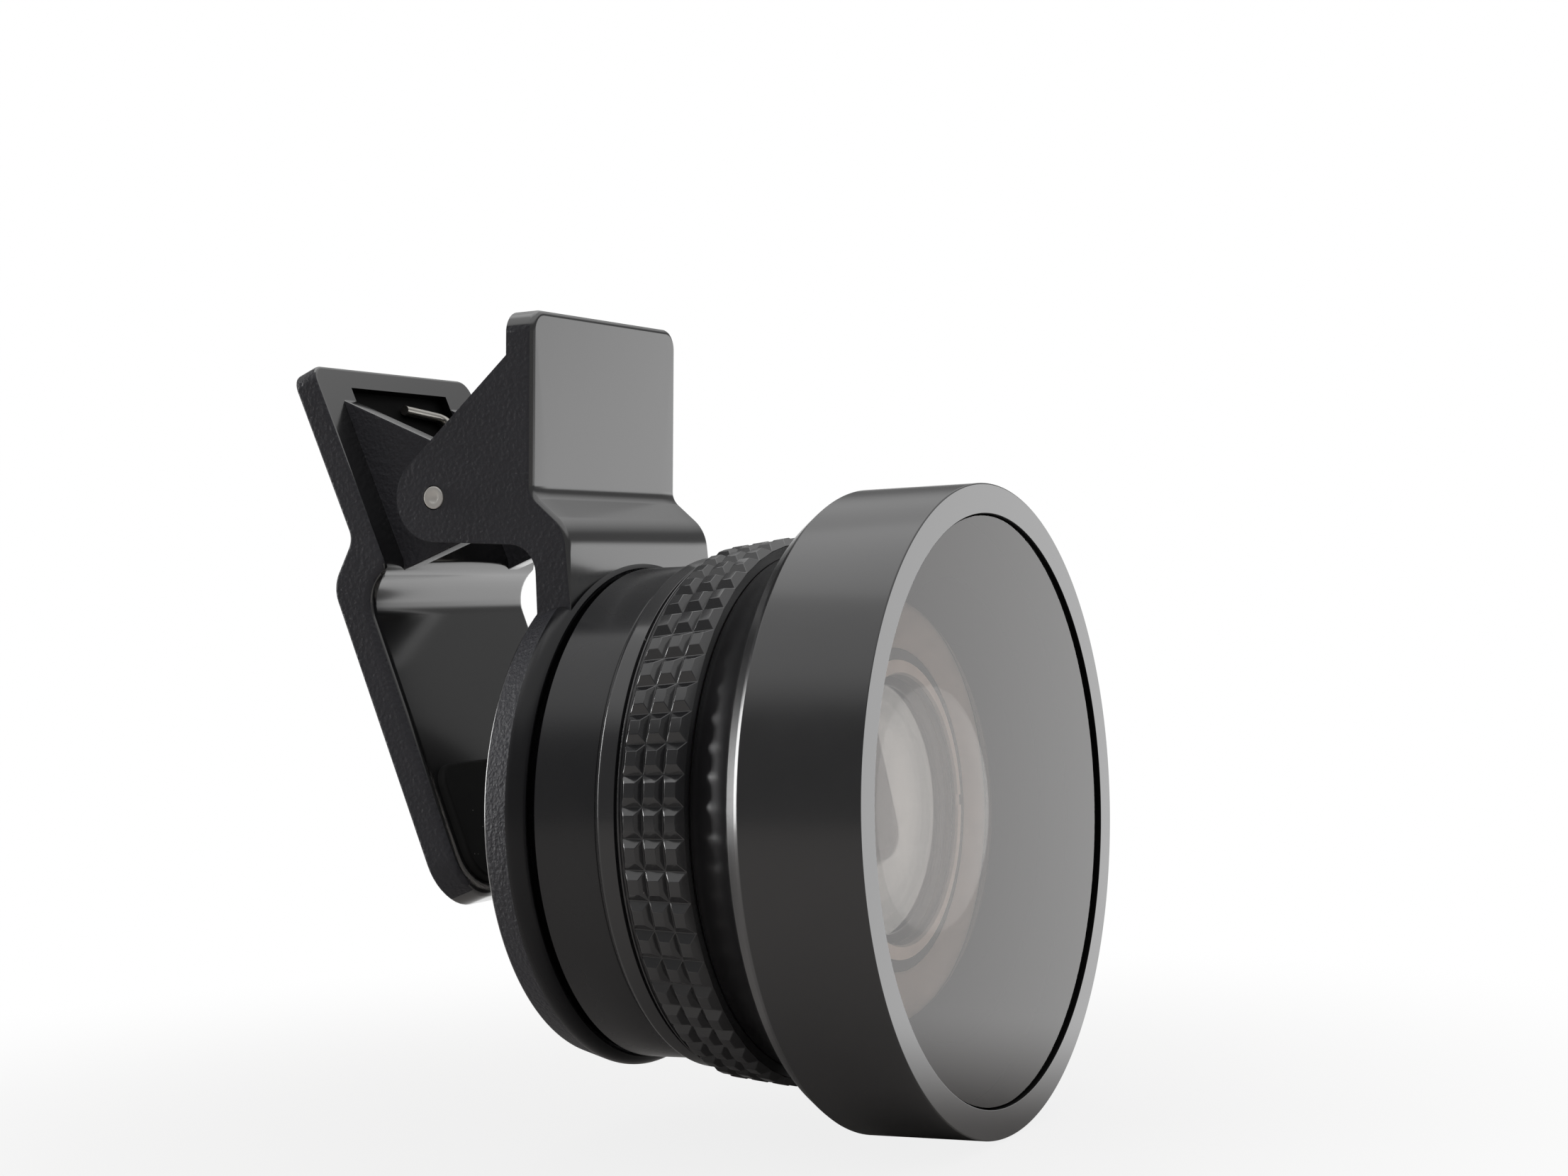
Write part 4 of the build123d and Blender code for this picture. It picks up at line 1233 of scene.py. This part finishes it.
def dress_nodes(finishes: Finishes) -> None:
    """Gives the frame's own nodes that stay their finishes."""
    kept = {
        "ring_pad": "pad_rubber",
        "macro_retaining_ring": "inner_black_and_painted_shade",
        # These inner rings take the pale bore colour, a painted reflection of light seen through the
        # glass.
        "middle_retaining_ring": "bore_painted_reflection",
        "element_spacer": "bore_painted_reflection",
        "front_gasket": "gasket_rubber",
    }
    for name, finish in kept.items():
        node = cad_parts[name]
        node.data.materials.clear()
        node.data.materials.append(finishes[finish])
        LOG.info("%s: dressed in %s", name, finish)


@dataclass(frozen=True)
class Ramp:
    """Smooth change of a value from low to high between start and end."""

    start: float
    end: float
    low: float = 0.0
    high: float = 1.0

    def of(self, w: Wiring, value: NodeSocket) -> NodeSocket:
        """Adds the ramp on a value and gives its output."""
        return w.add("MapRange", interpolation_type="SMOOTHSTEP", Value=value,
                     From__Min=self.start, From__Max=self.end, To__Min=self.low,
                     To__Max=self.high).outputs["Result"]


@dataclass(frozen=True)
class Softbox:
    """Rectangular lamp that faces the lens, with lengths in metres and power in watts."""

    name: str
    place: Triple
    size: Point
    power: float

    def hang(self) -> None:
        """Adds the lamp."""
        data = bpy.data.lights.new(self.name, "AREA")
        data.shape = "RECTANGLE"
        data.size, data.size_y = self.size
        data.energy = self.power
        lamp = placed(self.name, data)
        lamp.location = self.place
        lamp.rotation_euler = (-Vector(self.place)).to_track_quat("-Z", "Y").to_euler()


@dataclass
class Studio:
    """Floor, soft light and the camera at the photo's angle."""

    floor_z: float = -0.0262
    camera_at: Triple = (0.1174, -0.2004, 0.016)
    yaw: float = 26.55
    pitch: float = 0.60
    roll: float = -2.28
    lens: float = 62.16
    floor_half: float = 4.0
    floor_colour: tuple[float, float, float, float] = (0.5, 0.48, 0.465, 1.0)
    mirrored_floor: Ramp = Ramp(0.0, 0.06)
    near_shadow: Ramp = Ramp(0.03, 0.12, 0.84, 1.0)
    backdrop_at: Triple = (-0.5, 0.87, 0.0)
    backdrop_side: Ramp = Ramp(0.3, 0.48)
    backdrop_top: Ramp = Ramp(0.08, 0.22, 1.0, 0.08)
    overhead: Ramp = Ramp(0.24, 0.6, 0.0, 0.6)
    front_side: float = 0.15
    softboxes: tuple[Softbox, ...] = (
        Softbox("key_softbox", (-0.1, 0.12, 0.6), (0.5, 0.5), 0.3),
        Softbox("left_strip", (-0.6, 0.0, 0.04), (0.12, 0.4), 0.9))

    def build_camera(self) -> None:
        """Places the camera."""
        yaw, pitch, roll = (math.radians(a) for a in (self.yaw, self.pitch, self.roll))
        level = Vector((-math.sin(yaw), math.cos(yaw), 0))
        right = Vector((math.cos(yaw), math.sin(yaw), 0))
        up = Vector((0, 0, 1))
        view = level * math.cos(pitch) + up * math.sin(pitch)
        head = up * math.cos(pitch) - level * math.sin(pitch)
        side = right * math.cos(roll) + head * math.sin(roll)
        top = head * math.cos(roll) - right * math.sin(roll)
        data = bpy.data.cameras.new("camera")
        data.lens = self.lens
        data.sensor_width = 36.0
        data.clip_start = 0.005
        camera = placed("camera", data)
        place = Matrix((side, top, -view)).transposed().to_4x4()
        place.translation = self.camera_at
        camera.matrix_world = place
        bpy.context.scene.camera = camera

    def build_floor(self) -> None:
        """Lays the pale floor: near white for the camera, with the object's faint shadow."""
        bm = bmesh.new()
        bmesh.ops.create_grid(bm, x_segments=1, y_segments=1, size=self.floor_half)
        bmesh.ops.translate(bm, verts=bm.verts, vec=(0, 0, self.floor_z))
        material, w, shader = new_material(
            "pale_floor", Base__Color=self.floor_colour, Roughness=0.9)
        place = w.add("TexCoord").outputs["Object"]
        split = w.add("SeparateXYZ", Vector=place)
        mirrored_white = w.maths("MULTIPLY", self.mirrored_floor.of(w, split.outputs["Y"]),
                                 w.add("LightPath").outputs["Is Glossy Ray"])
        reach = w.add("VectorMath", place, operation="LENGTH").outputs["Value"]
        white = w.maths("MULTIPLY", self.seen_directly(w), self.near_shadow.of(w, reach))
        blend = w.add("MixShader", w.maths("MAXIMUM", white, mirrored_white),
                      shader.outputs["BSDF"], w.add("Emission", Strength=1.0).outputs["Emission"])
        w.fill(material.node_tree.nodes["Material Output"], Surface=blend.outputs["Shader"])
        mesh = mesh_of("floor", bm)
        mesh.materials.append(material)
        floor = placed("floor", mesh)

    def seen_directly(self, w: Wiring) -> NodeSocket:
        """Factor of 1 where the camera looks, straight or through glass."""
        rays = w.add("LightPath").outputs
        return w.maths("MAXIMUM", rays["Is Camera Ray"], rays["Is Transmission Ray"])

    def build_world(self) -> None:
        """Lights the room: a white backdrop, a bright ceiling and a dim side for the camera."""
        world = bpy.data.worlds.new("studio")
        bpy.context.scene.world = world
        world.use_nodes = True
        w = Wiring(world.node_tree)
        direction = w.add("TexCoord").outputs["Generated"]
        split = w.add("SeparateXYZ", Vector=direction)
        facing = w.add("VectorMath", direction, self.backdrop_at, operation="DOT_PRODUCT")
        backdrop = w.maths("MULTIPLY", self.backdrop_side.of(w, facing.outputs["Value"]),
                           self.backdrop_top.of(w, split.outputs["Z"]))
        toward_camera = w.maths("MINIMUM", split.outputs["Y"], 0.0)
        height = w.maths("ADD", split.outputs["Z"], w.maths("MULTIPLY", toward_camera, 0.25))
        overhead = self.overhead.of(w, height)
        light = w.maths("MAXIMUM", w.maths("MAXIMUM", backdrop, overhead), self.front_side)
        strength = w.add("Mix", data_type="FLOAT", A=light, B=1.0, Factor=self.seen_directly(w))
        w.fill(world.node_tree.nodes["Background"], Color=(1.0, 1.0, 1.0, 1.0),
               Strength=strength.outputs["Result"])

    def build(self) -> None:
        """Makes the studio."""
        self.build_camera()
        self.build_floor()
        self.build_world()
        for softbox in self.softboxes:
            softbox.hang()
        bpy.context.scene.view_settings.view_transform = "Standard"


def corners(box: tuple[Vector, Vector]) -> list[list[float]]:
    """A box's two corners as plain lists."""
    return [[float(value) for value in corner] for corner in box]


def main() -> None:
    """Dresses the frame, piece by piece."""
    logging.basicConfig(level=logging.INFO, format="%(name)s %(message)s")
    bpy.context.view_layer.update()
    finishes = build_finishes()
    front, rear = FrontArm(), RearArm()
    front.build(finishes)
    rear.build(finishes)
    HingeParts().build(finishes, front, rear)
    MacroLens().build(finishes)
    WideLens().build(finishes)
    dress_nodes(finishes)
    Studio().build()


if __name__ == "__main__":
    main()
